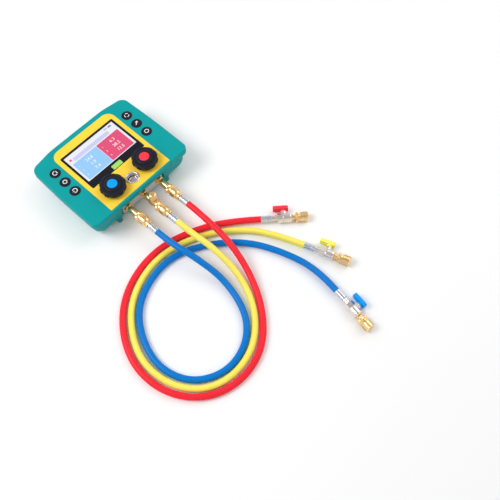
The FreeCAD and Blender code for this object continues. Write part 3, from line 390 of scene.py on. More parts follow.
def threadRows(low, high, crest, depth, pitch=1.27):
    turns = int((high - low) / pitch)
    teeth = []
    for turn in range(turns):
        teeth += [(low + turn * pitch, crest - depth), (low + (turn + 0.5) * pitch, crest)]
    return teeth + [(low + turns * pitch, crest - depth)]


def rows(low, high, count, radius):
    return [(low + (high - low) * step / count, radius) for step in range(count + 1)]


def knurl(bm, low, high, count, floor, depth, columns, crossed=True):
    # alternate points go in: crossed makes diamonds, otherwise straight teeth
    def tooth(radius, angle, along):
        column = round(angle / (2 * math.pi) * columns)
        row = round((along - low) / (high - low) * count) if crossed else 0
        return radius - depth * ((column + row) % 2) if radius > floor else radius
    reshape(bm, low, high, tooth)


def boxed(low, high):
    bm = bmesh.new()
    bmesh.ops.create_cube(bm, size=mm)
    size = Vector(high) - Vector(low)
    bmesh.ops.scale(bm, vec=size, verts=bm.verts)
    bmesh.ops.translate(bm, vec=(Vector(low) + size / 2) * mm, verts=bm.verts)
    return bm


def softCorners(obj, width):
    modifier = obj.modifiers.new("soft corners", "BEVEL")
    modifier.width = width * mm
    modifier.segments = softEdges["segments"]
    modifier.limit_method = "ANGLE"
    modifier.angle_limit = math.radians(softEdges["angle"])


# Hoses: the same routes as the solids, given as control points of one smooth spline each

hoses = {
    "low": {"length": 0.920, "points": [
        (-35.7, -131.2, 28), (-35.7, -161.2, 28), (-28, -204.5, 28), (-18, -262.5, 9),
        (-35, -327.5, 5.5), (-73, -363.5, 5.5), (-125, -371.5, 5.5), (-172, -344.5, 5.5),
        (-191, -294.5, 5.5), (-179, -242.5, 5.5), (-147, -196.5, 5.5), (-96, -173.5, 5.5),
        (-42, -171.5, 5.5), (12, -199.5, 5.5), (58, -244.5, 5.5), (84, -302.5, 5.5), (96, -364.5, 8.6),
        (87.6, -411.2, 8.6)]},
    "centre": {"length": 0.914, "points": [
        (0, -142.2, 28), (0, -172.2, 28), (5, -222.5, 28), (3, -280.5, 11), (-21, -334.5, 5.5),
        (-66, -373.5, 5.5), (-119, -383.5, 5.5), (-166, -367.5, 5.5), (-197, -325.5, 5.5),
        (-203, -271.5, 5.5), (-186, -226.5, 5.5), (-150, -183.5, 5.5), (-97, -159.5, 5.5),
        (-43, -157.5, 5.5), (15, -179.5, 5.5), (62, -214.5, 5.5), (95, -261.5, 8.6),
        (115.6, -319.8, 8.6)]},
    "high": {"length": 0.923, "points": [
        (35.7, -131.2, 28), (35.7, -164.2, 28), (31, -228.5, 28), (17, -288.5, 11), (-14, -344.5, 5.5),
        (-60, -385.5, 5.5), (-115, -397.5, 5.5), (-170, -380.5, 5.5), (-207, -335.5, 5.5),
        (-217, -278.5, 5.5), (-201, -223.5, 5.5), (-159, -173.5, 5.5), (-104, -148.5, 5.5),
        (-44, -144.5, 5.5), (18, -165.5, 5.5), (66, -198.5, 8.6), (103.5, -234.4, 8.6)]},
}
hoseRadius = 5.4


def addHose(name):
    data = bpy.data.curves.new(name + "_hose_cover", "CURVE")
    data.dimensions = "3D"
    data.bevel_depth = hoseRadius * mm
    data.bevel_resolution = 8
    data.resolution_u = 12
    data.use_fill_caps = True
    spline = data.splines.new("NURBS")
    points = hoses[name]["points"]
    spline.points.add(len(points) - 1)
    for control, place in zip(spline.points, points):
        control.co = (*(Vector(place) * mm), 1.0)
    spline.order_u = 3
    spline.use_endpoint_u = True
    hose = bpy.data.objects.new(name + "_hose_cover", data)
    scene.collection.objects.link(hose)
    slot = name + "_hose_rubber"
    return finish(hose, "root", slot, finishes[slot], [name + "_hose"])


def hoseEnd(name):
    last, before = Vector(hoses[name]["points"][-1]), Vector(hoses[name]["points"][-2])
    return last, (last - before).normalized()


# Brass fittings on the block. Outlines are (distance along, radius) from the block's front, and from the tip
# for a port's end. A hexagon is its start, end and width across flats, a thread its start, end, crest and
# depth, a knurled band its start, end and rows.

ports = {"low": {"x": -35.7, "reach": 33.0}, "centre": {"x": 0.0, "reach": 44.0},
         "high": {"x": 35.7, "reach": 33.0}}
portForm = {"front": -59.5, "height": 28.0, "hex": (0.05, 5.0, 14.0), "chamfer": 0.7,
            "root": [(-10.0, 2.4), (-10.0, 5.0), (-9.5, 5.5), (0.0, 5.5)],
            "neck": [(5.1, 5.2), (6.2, 5.2), (6.6, 6.0), (6.9, 6.2)],
            "endNeck": [(-7.1, 6.2), (-6.7, 5.5)], "endThread": (-6.4, -3.3, 5.5, 0.5),
            "nose": [(-3.0, 5.1), (-0.2, 3.4), (0.0, 3.1), (0.0, 2.4)]}
tee = {"along": 27.2, "hex": (19.7, 31.7, 13.0), "chamfer": 0.5,
       "before": [(19.65, 6.2)], "after": [(31.75, 6.2)],
       "foot": [(3.0, 2.4), (3.0, 6.0), (5.9, 6.0), (6.3, 6.4), (7.5, 6.4), (8.0, 6.0), (8.0, 5.2)],
       "thread": (8.6, 12.6, 5.5, 0.45), "top": [(14.0, 3.1), (14.0, 2.4)]}
cap = {"base": 8.3, "radius": 6.5, "floor": 6.3, "teeth": 64, "tooth": 0.28,
       "foot": [(0.0, 6.0), (0.5, 6.5)], "lowBand": (0.9, 6.9, 7),
       "waist": [(7.6, 6.5), (8.2, 6.1), (8.8, 5.5), (10.0, 5.5), (10.6, 6.1), (11.0, 6.5)],
       "highBand": (11.4, 14.6, 4),
       "head": [(15.0, 6.4), (16.2, 5.5), (16.8, 4.6), (17.0, 3.7), (17.0, 0.0)],
       "inside": [(7.0, 0.0), (7.0, 5.6), (0.0, 5.6)]}
away = Vector((0, -1, 0))


def portStart(name):
    return Vector((ports[name]["x"], portForm["front"], portForm["height"]))


def portRun(name, hub=()):
    form, reach = portForm, ports[name]["reach"]
    profile = form["root"] + hexRows(*form["hex"], form["chamfer"]) + form["neck"] + list(hub)
    end = form["endNeck"] + threadRows(*form["endThread"]) + form["nose"]
    bm = spun(profile + [(reach + along, radius) for along, radius in end])
    hexFlats(bm, *form["hex"])
    return bm


def addSidePort(name):
    piece = addPiece(name + "_port_fitting", placed(portRun(name), portStart(name), away), "turned")
    finish(piece, "root", "brass", finishes["brass_turned"], [name + "_port"])


def addCentrePort():
    run = portRun("centre", tee["before"] + hexRows(*tee["hex"], tee["chamfer"]) + tee["after"])
    hexFlats(run, *tee["hex"])
    placed(run, portStart("centre"), away)
    stub = spun(tee["foot"] + threadRows(*tee["thread"]) + tee["top"])
    placed(stub, portStart("centre") + away * tee["along"])
    piece = addPiece("centre_port_fitting", gathered([run, stub]), "turned")
    finish(piece, "root", "brass", finishes["brass_turned"], ["centre_port_tee"])


def addServiceCap():
    radius, teeth = cap["radius"], cap["teeth"]
    profile = cap["foot"] + rows(*cap["lowBand"], radius) + cap["waist"] + rows(*cap["highBand"], radius)
    bm = spun(profile + cap["head"] + cap["inside"], teeth)
    knurl(bm, *cap["lowBand"], cap["floor"], cap["tooth"], teeth)
    knurl(bm, *cap["highBand"], cap["floor"], cap["tooth"], teeth, False)
    placed(bm, portStart("centre") + away * tee["along"] + up * cap["base"])
    finish(addPiece("service_cap", bm, "knurled"), "tee_cap", "brass", finishes["brass_turned"], ["tee_cap"])


# Hose couplers: outlines of outside and inside. A barrel is its start, end, rows of teeth and radius.

nutTeeth = {"columns": 72, "floor": 8.0, "deep": 0.42, "collar": (0.5, 3.5, 1), "shallow": 0.35}
nearNut = {"engaged": 6.4,
           "outside": [(0.0, 8.6), (0.5, 9.1), (3.5, 9.1), (4.0, 8.5), (4.6, 7.2), (7.0, 7.0), (8.6, 8.0),
                       (9.3, 8.45)],
           "barrel": (9.5, 18.0, 9, 8.5),
           "end": [(18.4, 8.4), (19.4, 8.1), (20.6, 7.8), (21.2, 7.4), (22.0, 6.3), (22.3, 6.1), (23.0, 6.1),
                   (23.4, 6.7), (23.7, 6.9), (26.8, 6.9), (27.2, 6.7), (27.4, 6.3)],
           "inside": [(27.4, 3.8), (10.7, 3.8), (10.7, 5.6), (0.0, 5.6)]}
farNut = {"outside": [(0.0, 8.0), (0.5, 8.5), (3.2, 8.5), (3.7, 8.1), (4.5, 6.8), (6.6, 6.6), (7.7, 7.6),
                      (8.2, 8.2)],
          "barrel": (8.5, 19.5, 12, 8.4),
          "end": [(19.9, 8.3), (20.9, 7.7), (21.5, 7.0), (21.5, 5.5)],
          "lip": [(21.0, 5.05)], "thread": (12.6, 20.6, 5.3, 0.35),
          "inside": [(12.3, 5.3), (8.2, 5.3), (8.2, 3.75), (0.0, 3.75)]}


def nutMesh(form, mouth=()):
    low, high, count, radius = form["barrel"]
    profile = form["outside"] + rows(low, high, count, radius) + form["end"] + list(mouth) + form["inside"]
    floor, columns = nutTeeth["floor"], nutTeeth["columns"]
    bm = spun(profile, columns)
    knurl(bm, low, high, count, floor, nutTeeth["deep"], columns)
    knurl(bm, *nutTeeth["collar"], floor, nutTeeth["shallow"], columns, False)
    return bm


def addNearNuts():
    nuts = []
    for name in ports:
        start = portStart(name) + away * (ports[name]["reach"] - nearNut["engaged"])
        nuts.append(placed(nutMesh(nearNut), start, away))
    piece = addPiece("near_hose_nuts", gathered(nuts), "knurled")
    finish(piece, "root", "brass", finishes["brass_turned"], ["near_couplers"])


# Hose ends: sleeve, shut-off valve with its lever, brass end and swivel nut, along each hose

sleeve = {"length": 17.4, "gap": 0.3, "crimps": 8, "crimp": 0.12, "crimpLow": 1.5, "crimpHigh": 16.0,
          "crimpFloor": 5.0,
          "profile": [(0.0, 3.8), (0.0, 5.4), (0.6, 5.9), (4.9, 5.9), (5.3, 5.4), (6.2, 5.4), (6.7, 5.9),
                      (10.7, 5.9), (11.1, 5.4), (12.1, 5.4), (12.5, 5.9), (16.8, 5.9), (17.4, 5.5),
                      (17.4, 3.8)]}
valve = {"length": 34.8, "ball": 21.3, "hex": (9.8, 18.8, 14.4), "chamfer": 0.8, "nipple": 6.3,
         "neck": [(0.0, 2.4), (0.0, 4.5), (0.4, 4.8), (3.4, 4.8), (3.7, 4.5), (4.6, 4.5), (4.9, 4.8),
                  (9.7, 4.8)],
         "barrel": [(18.85, 7.4), (19.3, 8.0), (19.7, 8.2), (21.0, 8.2), (21.3, 7.85), (21.9, 7.85),
                    (22.2, 8.2), (29.6, 8.2), (29.9, 7.85), (30.5, 7.85), (30.8, 8.2), (32.2, 8.2),
                    (33.0, 7.8), (33.5, 7.2), (33.5, 7.0), (18.3, 7.0), (14.6, 5.6), (14.2, 2.4)],
         "boss": [(6.0, 2.45), (6.0, 5.4), (9.4, 5.4), (9.7, 5.0), (10.2, 5.0), (10.5, 5.4), (11.1, 5.4),
                  (11.5, 5.0), (11.5, 2.45)]}
brassEnd = {"hex": (0.05, 2.1, 9.4), "chamfer": 0.4, "flats": (0.0, 2.15, 9.4),
            "plug": [(-6.0, 2.2), (-6.0, 6.9), (-0.4, 6.9), (0.0, 6.5), (0.0, 5.3)],
            "tube": [(2.2, 3.6), (14.8, 3.6), (14.8, 4.7), (18.0, 4.7), (18.8, 3.4), (18.8, 2.2)]}
lever = {"back": 17.5, "front": 8.5, "inner": 15.0, "outer": 21.0, "width": 12.0, "corner": 2.6, "edge": 0.35,
         "rim": 1.5, "recess": 0.9, "ribs": (-14.2, -11.4, -8.6), "ribWidth": 1.3, "ribReach": 3.6,
         "ribFoot": 0.2, "ribDrop": 0.15, "padFoot": 0.05,
         "pad": [(0.0, 0.0), (0.0, 3.7), (0.4, 4.0), (0.75, 4.0), (0.9, 3.7), (0.9, 0.0)],
         "hub": [(11.8, 2.45), (11.8, 4.2), (12.2, 4.6), (14.6, 4.6), (15.4, 5.0), (15.4, 2.45)]}


def crimp(radius, angle, along):
    if radius > sleeve["crimpFloor"] and sleeve["crimpLow"] < along < sleeve["crimpHigh"]:
        radius -= sleeve["crimp"] * (1 + math.cos(sleeve["crimps"] * angle))
    return radius


def sleeveMesh(start, axis):
    bm = spun(sleeve["profile"], 64)
    reshape(bm, 0.0, sleeve["length"], crimp)
    return placed(bm, start, axis)


def addSleeves():
    sleeves = []
    for name in hoses:
        first = Vector(hoses[name]["points"][0])
        sleeves.append(sleeveMesh(first - away * sleeve["length"], away))
    piece = addPiece("near_sleeves", gathered(sleeves), "turned")
    finish(piece, "root", "ferrule_steel", finishes["ferrule_steel_turned"], ["ferrules"])
    for name in hoses:
        piece = addPiece(name + "_far_sleeve", sleeveMesh(*hoseEnd(name)), "turned")
        finish(piece, "root", "ferrule_steel", finishes["ferrule_steel_turned"])


def valveStart(name):
    end, axis = hoseEnd(name)
    return end + axis * (sleeve["length"] + sleeve["gap"]), axis


def addValve(name):
    start, axis = valveStart(name)
    body = spun(valve["neck"] + hexRows(*valve["hex"], valve["chamfer"]) + valve["barrel"])
    hexFlats(body, *valve["hex"])
    placed(body, start, axis)
    boss = placed(spun(valve["boss"], 48), start + axis * valve["ball"], up.cross(axis))
    piece = addPiece(name + "_valve_casing", gathered([body, boss]), "turned")
    return finish(piece, "root", "nickel", finishes["nickel_turned"], [name + "_valve_body"])


def addLever(name, slot):
    start, axis = valveStart(name)
    side = up.cross(axis)
    half = lever["width"] / 2
    plate = boxed((-lever["back"], lever["inner"], -half), (lever["front"], lever["outer"], half))
    corners = [edge for edge in plate.edges if abs(edge.verts[0].co.y - edge.verts[1].co.y) > mm]
    bmesh.ops.bevel(plate, geom=corners, offset=lever["corner"] * mm, offset_type="OFFSET", segments=6,
                    profile=0.5, affect="EDGES", clamp_overlap=True, material=-1)
    for outer in [face for face in plate.faces if face.normal.y > 0.9]:
        bmesh.ops.inset_region(plate, faces=[outer], thickness=lever["rim"] * mm, depth=0.0,
                               use_even_offset=True)
        bmesh.ops.translate(plate, vec=(0, -lever["recess"] * mm, 0), verts=outer.verts)
    floor, rib = lever["outer"] - lever["recess"], lever["ribReach"]
    foot, top = floor - lever["ribFoot"], lever["outer"] - lever["ribDrop"]
    ribs = [boxed((x, foot, -rib), (x + lever["ribWidth"], top, rib)) for x in lever["ribs"]]
    pad = placed(spun(lever["pad"], 40, False), (0, floor - lever["padFoot"], 0), (0, 1, 0))
    hub = placed(spun(lever["hub"], 48), (0, 0, 0), (0, 1, 0))
    whole = gathered([plate, hub, pad] + ribs)
    turn = Matrix((axis, side, axis.cross(side))).transposed().to_4x4()
    centre = (start + axis * valve["ball"]) * mm
    bmesh.ops.transform(whole, matrix=Matrix.Translation(centre) @ turn, verts=whole.verts)
    piece = addPiece(name + "_valve_handle", whole, "turned")
    softCorners(piece, lever["edge"])
    return finish(piece, name + "_lever", slot, finishes[slot], [name + "_valve_lever"])


def valveEndMesh(start, axis):
    bm = spun(brassEnd["plug"] + hexRows(*brassEnd["hex"], brassEnd["chamfer"]) + brassEnd["tube"])
    hexFlats(bm, *brassEnd["flats"])
    return placed(bm, start, axis)


def addFarNut(name):
    start, axis = valveStart(name)
    start = start + axis * (valve["length"] + valve["nipple"])
    mouth = farNut["lip"] + threadRows(*farNut["thread"])[::-1]
    piece = addPiece(name + "_swivel_nut", placed(nutMesh(farNut, mouth), start, axis), "knurled")
    return finish(piece, name + "_coupler", "brass", finishes["brass_turned"], [name + "_far_coupler"])


def addHoseEnds():
    slots = {"low": "blue_plastic", "centre": "yellow_plastic", "high": "red_plastic"}
    going = {}
    for name in hoses:
        start, axis = valveStart(name)
        end = addPiece(name + "_valve_end", valveEndMesh(start + axis * valve["length"], axis), "turned")
        finish(end, "root", "brass", finishes["brass_turned"], ["valve_nipples"] if name == "low" else ())
        going[name] = [addValve(name), addLever(name, slots[name]), addFarNut(name), end,
                       bpy.data.objects[name + "_far_sleeve"], frame["nodes"][name + "_valve_ball"]]
    return going


def declareHoses(going):
    for name, form in hoses.items():
        exitPoint = Vector(form["points"][0]) * mm
        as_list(going[name])


# Hand knobs: profile of (height above the panel side, radius)

grip = {"base": 56.0, "row": -34.2, "lobes": 10, "scallop": 7.0, "depth": 1.6, "steps": 240, "radius": 22.4,
        "top": 13.3, "skirt": 18.5, "blend": 0.5,
        "profile": [(0.0, 17.9), (0.4, 18.3), (2.6, 18.6), (3.8, 19.2), (4.6, 20.2), (5.1, 21.4), (5.7, 22.1),
                    (6.6, 22.4), (9.4, 22.4), (10.4, 22.25), (11.3, 21.9), (12.0, 21.4), (12.55, 20.9),
                    (13.0, 20.3), (13.3, 19.6), (13.3, 19.2), (13.1, 18.7), (12.8, 18.3), (12.5, 17.9),
                    (12.4, 17.4), (12.4, 15.2), (12.5, 14.9), (12.8, 14.7), (13.6, 14.2), (14.2, 13.9),
                    (14.6, 13.4), (14.95, 13.0), (15.25, 12.4), (15.4, 11.8), (15.5, 11.0), (15.5, 9.1),
                    (15.4, 8.8), (15.2, 8.7), (14.2, 8.7), (14.2, 3.2), (0.0, 3.2), (0.0, 6.0), (7.0, 6.0),
                    (7.0, 17.4), (0.0, 17.4)]}
gripCap = {"base": 70.15,
           "profile": [(0.0, 0.0), (0.0, 8.55), (1.2, 8.6), (1.5, 8.45), (1.7, 8.2), (1.8, 7.8), (1.8, 0.0)]}


def lobed(radius, angle, along):
    # a shallow round scallop between each two lobes, blended in softly
    if radius < grip["skirt"]:
        return radius
    step = 2 * math.pi / grip["lobes"]
    turn = (angle + step / 2) % step - step / 2
    distance = grip["radius"] + grip["scallop"] - grip["depth"]
    inside = grip["scallop"] ** 2 - (distance * math.sin(turn)) ** 2
    if inside <= 0:
        return radius
    scallop = distance * math.cos(turn) - math.sqrt(inside)
    blend = max(grip["blend"] - abs(radius - scallop), 0.0) / grip["blend"]
    return min(radius, scallop) - blend * blend * grip["blend"] / 4


def addKnob(name, slot):
    x = ports[name]["x"]
    bm = spun(grip["profile"], grip["steps"])
    reshape(bm, 0.0, grip["top"], lobed)
    placed(bm, (x, grip["row"], grip["base"]))
    piece = addPiece(name + "_hand_grip", bm, "rounded")
    finish(piece, name + "_knob", "black_soft_grip", finishes["black_soft_grip"], [name + "_knob"])
    disc = placed(spun(gripCap["profile"], closed=False), (x, grip["row"], gripCap["base"]))
    finish(addPiece(name + "_grip_disc", disc, "turned"), name + "_knob", slot, finishes[slot],
           [name + "_knob_cap"])


# Sight glass

sight = {"row": -40.5, "ringBase": 54.4, "nutBase": 40.0, "lensBase": 43.5,
         "ring": [(-10.4, 8.8), (-10.4, 10.4), (-0.1, 10.4), (0.0, 10.6), (0.0, 11.9), (0.1, 12.0),
                  (0.6, 12.0), (0.9, 11.85), (1.15, 11.55), (1.4, 11.1), (1.5, 10.6), (1.5, 10.1), (1.4, 9.7),
                  (1.15, 9.3), (0.8, 9.0), (0.4, 8.85)],
         "nut": [(0.0, 5.5), (0.0, 7.4), (0.4, 7.8), (6.4, 7.8), (7.0, 7.2), (7.0, 6.6), (6.5, 5.9),
                 (6.2, 5.5)],
         "lens": [(0.0, 0.0), (0.0, 5.3), (0.1, 5.4), (2.1, 5.4), (2.3, 5.2), (2.45, 3.6), (2.5, 1.8),
                  (2.5, 0.0)]}


def addSightGlass():
    ring = placed(spun(sight["ring"]), (0, sight["row"], sight["ringBase"]))
    finish(addPiece("sight_glass_surround", ring, "rounded"), "root", "nickel", finishes["nickel_turned"],
           ["sight_glass_ring"])
    nut = placed(spun(sight["nut"]), (0, sight["row"], sight["nutBase"]))
    finish(addPiece("sight_glass_socket_nut", nut, "turned"), "root", "nickel", finishes["nickel_turned"],
           ["sight_glass_nut"])
    lens = placed(spun(sight["lens"], closed=False), (0, sight["row"], sight["lensBase"]))
    finish(addPiece("sight_glass_dome", lens, "turned"), "root", "window_glass", finishes["lens"],
           ["sight_glass_lens"])


# Keys: a dished round cap with a plain pale sign printed on the dish

keyRows = {"top": 61.0, "middle": 35.9, "bottom": 10.8}
keySides = {"left": -81.0, "right": 81.0}
key = {"radius": 7.2, "flange": 8.4, "flangeLow": 49.7, "flangeHigh": 50.9, "top": 55.6, "dish": 0.7,
       "dishParts": (0.93, 0.8, 0.65, 0.5, 0.35, 0.2, 0.0), "rim": [(0.45, 0.0), (0.15, 0.12), (0.03, 0.3)],
       "line": 0.62, "lineHeight": 0.12, "ringBase": 53.2,
       "surround": [(0.0, 7.45), (0.0, 9.15), (0.85, 9.2), (0.9, 9.45), (1.2, 9.4), (1.5, 9.2), (1.75, 8.85),
                    (1.88, 8.5), (1.9, 8.1), (1.85, 7.8), (1.7, 7.55), (1.5, 7.42)]}


def arc(radius, start, end, count=24):
    turns = [math.radians(start + (end - start) * step / count) for step in range(count + 1)]
    return [(radius * math.cos(turn), radius * math.sin(turn)) for turn in turns]


keySigns = {
    "left_top": [arc(3.9, 70, 290), [(2.9, -2.9), (2.9, 2.9)]],
    "left_middle": [arc(3.4, 0, 360)],
    "left_bottom": [arc(3.9, -140, 140), [(-3.7, 0), (-1.1, 0)]],
    "right_top": [arc(3.9, 15, 95), arc(3.9, 135, 215), arc(3.9, 255, 335)],
    "right_middle": [[(-3.1, -2.6), (2.4, 2.4)], [(-0.5, 2.9), (2.9, 2.9), (2.9, -0.5)]],
    "right_bottom": [arc(3.5, 50, 310), [(2.2, -2.7), (4.5, 0), (2.2, 2.7)]],
}


def dishLevel(x, y):
    return key["top"] - key["dish"] * (1 - (x * x + y * y) / key["radius"] ** 2)


def printedLine(points, x, y):
    # a flat bold line that follows the dish, as a mesh
    data = bpy.data.curves.new("line", "CURVE")
    data.dimensions = "3D"
    data.bevel_depth = key["line"] * mm
    data.bevel_resolution = 2
    data.use_fill_caps = True
    spline = data.splines.new("POLY")
    spline.points.add(len(points) - 1)
    for control, (px, py) in zip(spline.points, points):
        control.co = (px * mm, py * mm, 0.0, 1.0)
    line = bpy.data.objects.new("line", data)
    mesh = bpy.data.meshes.new_from_object(line)
    bm = bmesh.new()
    bm.from_mesh(mesh)
    bpy.data.objects.remove(line)
    bpy.data.curves.remove(data)
    bpy.data.meshes.remove(mesh)
    for vert in bm.verts:
        level = dishLevel(vert.co.x / mm, vert.co.y / mm)
        vert.co.z = vert.co.z * key["lineHeight"] + level * mm
    bmesh.ops.translate(bm, vec=(x * mm, y * mm, 0), verts=bm.verts)
    return bm


def addKey(name, x, y):
    radius, top = key["radius"], key["top"]
    flange = [(key["flangeLow"], 0.0), (key["flangeLow"], key["flange"]), (key["flangeHigh"], key["flange"]),
              (key["flangeHigh"], radius)]
    rim = [(top - drop, radius - inset) for drop, inset in key["rim"]]
    profile = flange + rim + [(dishLevel(radius * part, 0), radius * part) for part in key["dishParts"]]
    body = addPiece(name + "_key_cap", placed(spun(profile, closed=False), (x, y, 0)), "rounded")
    finish(body, name + "_button", "button_plastic", finishes["button_plastic"], [name + "_button"])
    lines = [printedLine(points, x, y) for points in keySigns[name]]
    finish(addPiece(name + "_key_sign", gathered(lines), "printed"), name + "_button", None, finishes["sign"])


def addKeys():
    rings = []
    for side, x in keySides.items():
        for row, y in keyRows.items():
            addKey(side + "_" + row, x, y)
            rings.append(placed(spun(key["surround"]), (x, y, key["ringBase"])))
    piece = addPiece("key_surrounds", gathered(rings), "ring")
    finish(piece, "root", "button_plastic", finishes["button_plastic"], ["button_bezels"])


# Picture on the display: shares of its width from the left and of its height from the top

picture = {"left": -54.0, "top": 71.9, "width": 108.0, "height": 64.8, "level": 53.605, "fieldRise": 0.01,
           "figureRise": 0.025,
           "fields": {"ground": ((0.0, 0.0, 1.0, 1.0), (0.86, 0.87, 0.95)),
                      "chart": ((0.11, 0.14, 0.83, 0.26), (0.60, 0.63, 0.90)),
                      "blue": ((0.037, 0.295, 0.512, 0.965), (0.30, 0.61, 0.95)),
                      "red": ((0.518, 0.295, 0.965, 0.965), (0.80, 0.045, 0.16)),
                      "mark": ((0.045, 0.12, 0.085, 0.19), (0.90, 0.10, 0.12)),
                      "cell": ((0.885, 0.05, 0.945, 0.105), (0.25, 0.27, 0.33)),
                      "cellEnd": ((0.945, 0.065, 0.952, 0.09), (0.25, 0.27, 0.33)),
                      "clock": ((0.80, 0.05, 0.865, 0.085), (0.45, 0.47, 0.55))},
           "figures": [("24.8", 0.22, 0.50, 8.6), ("1.9", 0.24, 0.675, 8.6), ("7.4", 0.24, 0.85, 8.6),
                       ("1", 0.075, 0.48, 5.0), ("2", 0.075, 0.655, 5.0), ("3", 0.075, 0.83, 5.0),
                       ("6.3", 0.72, 0.50, 8.6), ("38.2", 0.70, 0.675, 8.6), ("12.5", 0.70, 0.85, 8.6),
                       ("1", 0.56, 0.48, 5.0), ("2", 0.56, 0.655, 5.0), ("3", 0.56, 0.83, 5.0)]}


glow = {"unlit": 0.05, "roughness": 0.5, "dots": 600.0, "vary": 0.03, "strength": 0.95}


def glowing(name, colour):
    # a lit display: fine rows of its dots vary the light a little
    unlit = tuple(channel * glow["unlit"] for channel in colour)
    material = newMaterial(name, unlit, glow["roughness"], Specular_IOR_Level=0.0)
    tree = material.node_tree
    place = shaderNode(tree, "ShaderNodeTexCoord").outputs["Object"]
    dots = shaderNode(tree, "ShaderNodeTexWave", {"Vector": place, "Scale": glow["dots"]}).outputs["Fac"]
    darker, lighter = scaled(colour, 1 - glow["vary"]), scaled(colour, 1 + glow["vary"])
    light = ramped(tree, dots, (0.0, darker), (1.0, lighter))
    shader = tree.nodes["Principled BSDF"]
    tree.links.new(light, shader.inputs["Emission Color"])
    shader.inputs["Emission Strength"].default_value = glow["strength"]
    return material


def addField(name, share, colour, rise):
    left, top, right, bottom = share
    low = Vector((picture["left"] + left * picture["width"], picture["top"] - bottom * picture["height"], 0))
    high = Vector((picture["left"] + right * picture["width"], picture["top"] - top * picture["height"], 0))
    bm = bmesh.new()
    bmesh.ops.create_grid(bm, x_segments=1, y_segments=1, size=0.5 * mm)
    bmesh.ops.scale(bm, vec=(high.x - low.x, high.y - low.y, 1.0), verts=bm.verts)
    middle = (low + high) / 2 + up * (picture["level"] + rise)
    bmesh.ops.translate(bm, vec=middle * mm, verts=bm.verts)
    finish(addPiece("screen_" + name, bm), "root", "display", glowing("screen_" + name, colour))


def addFigures():
    words = []
    for text, left, bottom, size in picture["figures"]:
        data = bpy.data.curves.new("figure", "FONT")
        data.body = text
        data.size = size * mm
        figure = bpy.data.objects.new("figure", data)
        mesh = bpy.data.meshes.new_from_object(figure)
        bm = bmesh.new()
        bm.from_mesh(mesh)
        place = Vector((picture["left"] + left * picture["width"],
                        picture["top"] - bottom * picture["height"],
                        picture["level"] + picture["figureRise"]))
        bmesh.ops.translate(bm, vec=place * mm, verts=bm.verts)
        words.append(bm)
        bpy.data.objects.remove(figure)
        bpy.data.curves.remove(data)
        bpy.data.meshes.remove(mesh)
    light = glowing("screen_figures", (1.0, 1.0, 1.0))
    finish(addPiece("screen_figures", gathered(words)), "root", "display", light)


def addPicture():
    for name, (share, colour) in picture["fields"].items():
        addField(name, share, colour, 0.0 if name == "ground" else picture["fieldRise"])
    addFigures()


# Mouldings: a smooth copy of each solid, some with their sharp edges taken off by this many mm

mouldings = {
    "front_shell": ("root", 0.0), "rear_shell": ("root", 0.0), "face_panel": ("root", 0.25),
    "screen_bezel": ("root", 0.3), "badge_plate": ("root", 0.2), "manifold_block": ("root", 0.0),
    "battery_door": ("root", 0.3), "hanging_bail": ("bail", 0.0), "shell_screws": ("root", 0.0),
    "block_screws": ("root", 0.0), "probe_sockets": ("root", 0.0), "rubber_feet": ("root", 0.6),
    "battery_cells": ("root", 0.0), "main_board": ("root", 0.0), "display_module": ("root", 0.2),
    "valve_bonnets": ("root", 0.0), "pressure_sensors": ("root", 0.0), "hose_tails": ("root", 0.0),
}
weld = {"distance": 0.002, "flatAngle": 0.5}


def addMoulding(node, body, edge):
    bm = bmesh.new()
    bm.from_mesh(frame["nodes"][node].data)
    bmesh.ops.remove_doubles(bm, verts=bm.verts, dist=weld["distance"] * mm)
    bmesh.ops.dissolve_limit(bm, angle_limit=math.radians(weld["flatAngle"]), verts=bm.verts, edges=bm.edges)
    piece = addPiece(node + "_moulding", bm, "moulded")
    if edge:
        softCorners(piece, edge)
    even = piece.modifiers.new("even shading", "WEIGHTED_NORMAL")
    even.keep_sharp = True
    slot = slotOf(node)
    finish(piece, body, slot, finishes[slot], [node])


# Table, lights and surroundings

paleGround = (0.94, 0.94, 0.95, 1.0)
tableTop = {"reach": 20.0, "level": -0.00002, "colour": (0.93, 0.93, 0.93), "roughness": 0.75, "vary": 0.05,
            "wear": 12.0, "fadeFrom": 0.8, "fadeTo": 2.4}


def addTable():
    bm = bmesh.new()
    bmesh.ops.create_grid(bm, x_segments=1, y_segments=1, size=tableTop["reach"])
    bmesh.ops.translate(bm, vec=(0, 0, tableTop["level"]), verts=bm.verts)
    table = addPiece("table", bm)
    material = flatFinish("table_white", tableTop)
    # far from the gauge, where the lamps no longer reach, the table is as pale as the backdrop
    tree = material.node_tree
    place = shaderNode(tree, "ShaderNodeTexCoord").outputs["Object"]
    distance = shaderNode(tree, "ShaderNodeVectorMath", {0: place}, operation="LENGTH").outputs["Value"]
    far = shaderNode(tree, "ShaderNodeMapRange", {"Value": distance, "From Min": tableTop["fadeFrom"],
                                                  "From Max": tableTop["fadeTo"]})
    share = calculate(tree, "MULTIPLY", far.outputs["Result"], isSeen(tree))
    pale = shaderNode(tree, "ShaderNodeEmission", {"Color": paleGround})
    either = shaderNode(tree, "ShaderNodeMixShader", {0: share, 2: pale.outputs["Emission"],
                                                      1: tree.nodes["Principled BSDF"].outputs["BSDF"]})
    tree.links.new(either.outputs["Shader"], tree.nodes["Material Output"].inputs["Surface"])
    table.data.materials.append(material)
    table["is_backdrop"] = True


lamps = {"main": {"place": (-0.9, 0.5, 1.5), "size": 0.9, "power": 16.0},
         "side": {"place": (1.2, -0.5, 1.2), "size": 1.2, "power": 7.0}}
lampTarget = Vector((0, -0.15, 0))


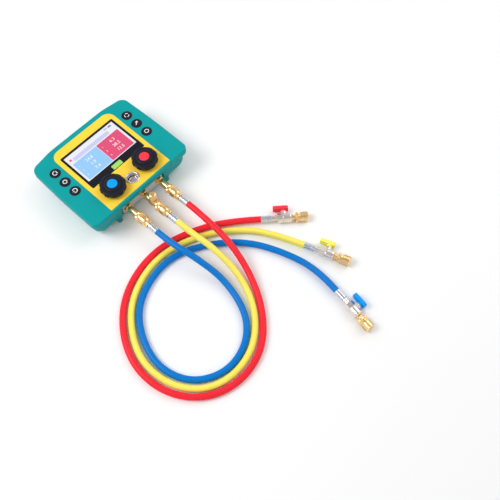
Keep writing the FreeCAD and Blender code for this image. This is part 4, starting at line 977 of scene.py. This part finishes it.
def addLamp(name, place, size, power):
    data = bpy.data.lights.new(name, "AREA")
    data.shape = "SQUARE"
    data.size = size
    data.energy = power
    lamp = bpy.data.objects.new(name, data)
    aim = (lampTarget - Vector(place)).to_track_quat("-Z", "Y")
    lamp.matrix_world = Matrix.Translation(place) @ aim.to_matrix().to_4x4()
    scene.collection.objects.link(lamp)


# The room: what lights the gauge, and what is seen around it and in the metal, each from the horizon up
room = {"dim": (0.0, (0.42, 0.42, 0.44, 1.0)), "bright": (0.7, (1.0, 1.0, 1.0, 1.0)), "strength": 0.72,
        "wall": (0.3, paleGround), "ceiling": (0.8, (0.45, 0.45, 0.46, 1.0))}


def addSurroundings():
    world = bpy.data.worlds.new("surroundings")
    scene.world = world
    world.use_nodes = True
    tree = world.node_tree
    place = shaderNode(tree, "ShaderNodeTexCoord").outputs["Generated"]
    height = shaderNode(tree, "ShaderNodeSeparateXYZ", {"Vector": place}).outputs["Z"]
    lighting = tree.nodes["Background"]
    tree.links.new(ramped(tree, height, room["dim"], room["bright"]), lighting.inputs["Color"])
    lighting.inputs["Strength"].default_value = room["strength"]
    around = ramped(tree, height, room["wall"], room["ceiling"])
    backdrop = shaderNode(tree, "ShaderNodeBackground", {"Color": around})
    either = shaderNode(tree, "ShaderNodeMixShader", {0: isSeen(tree), 1: lighting.outputs["Background"],
                                                      2: backdrop.outputs["Background"]})
    tree.links.new(either.outputs["Shader"], tree.nodes["World Output"].inputs["Surface"])


addCamera()
makeFinishes()
dressNodes()
hoseCovers = {name: addHose(name) for name in hoses}
print("camera, finishes and hoses done")

addSidePort("low")
addSidePort("high")
addCentrePort()
addServiceCap()
addNearNuts()
addSleeves()
declareHoses(addHoseEnds())
print("fittings and valves done")

addKnob("low", "blue_plastic")
addKnob("high", "red_plastic")
addSightGlass()
addKeys()
addPicture()
print("knobs, keys and screen done")

for node, (body, edge) in mouldings.items():
    addMoulding(node, body, edge)
print("mouldings done")

addTable()
for name, lamp in lamps.items():
    addLamp(name, **lamp)
addSurroundings()
scene.view_settings.view_transform = "Standard"

boxes = {"cad": cadBox, "visual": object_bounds()}
{name: [list(corner) for corner in box] for name, box in boxes.items()}
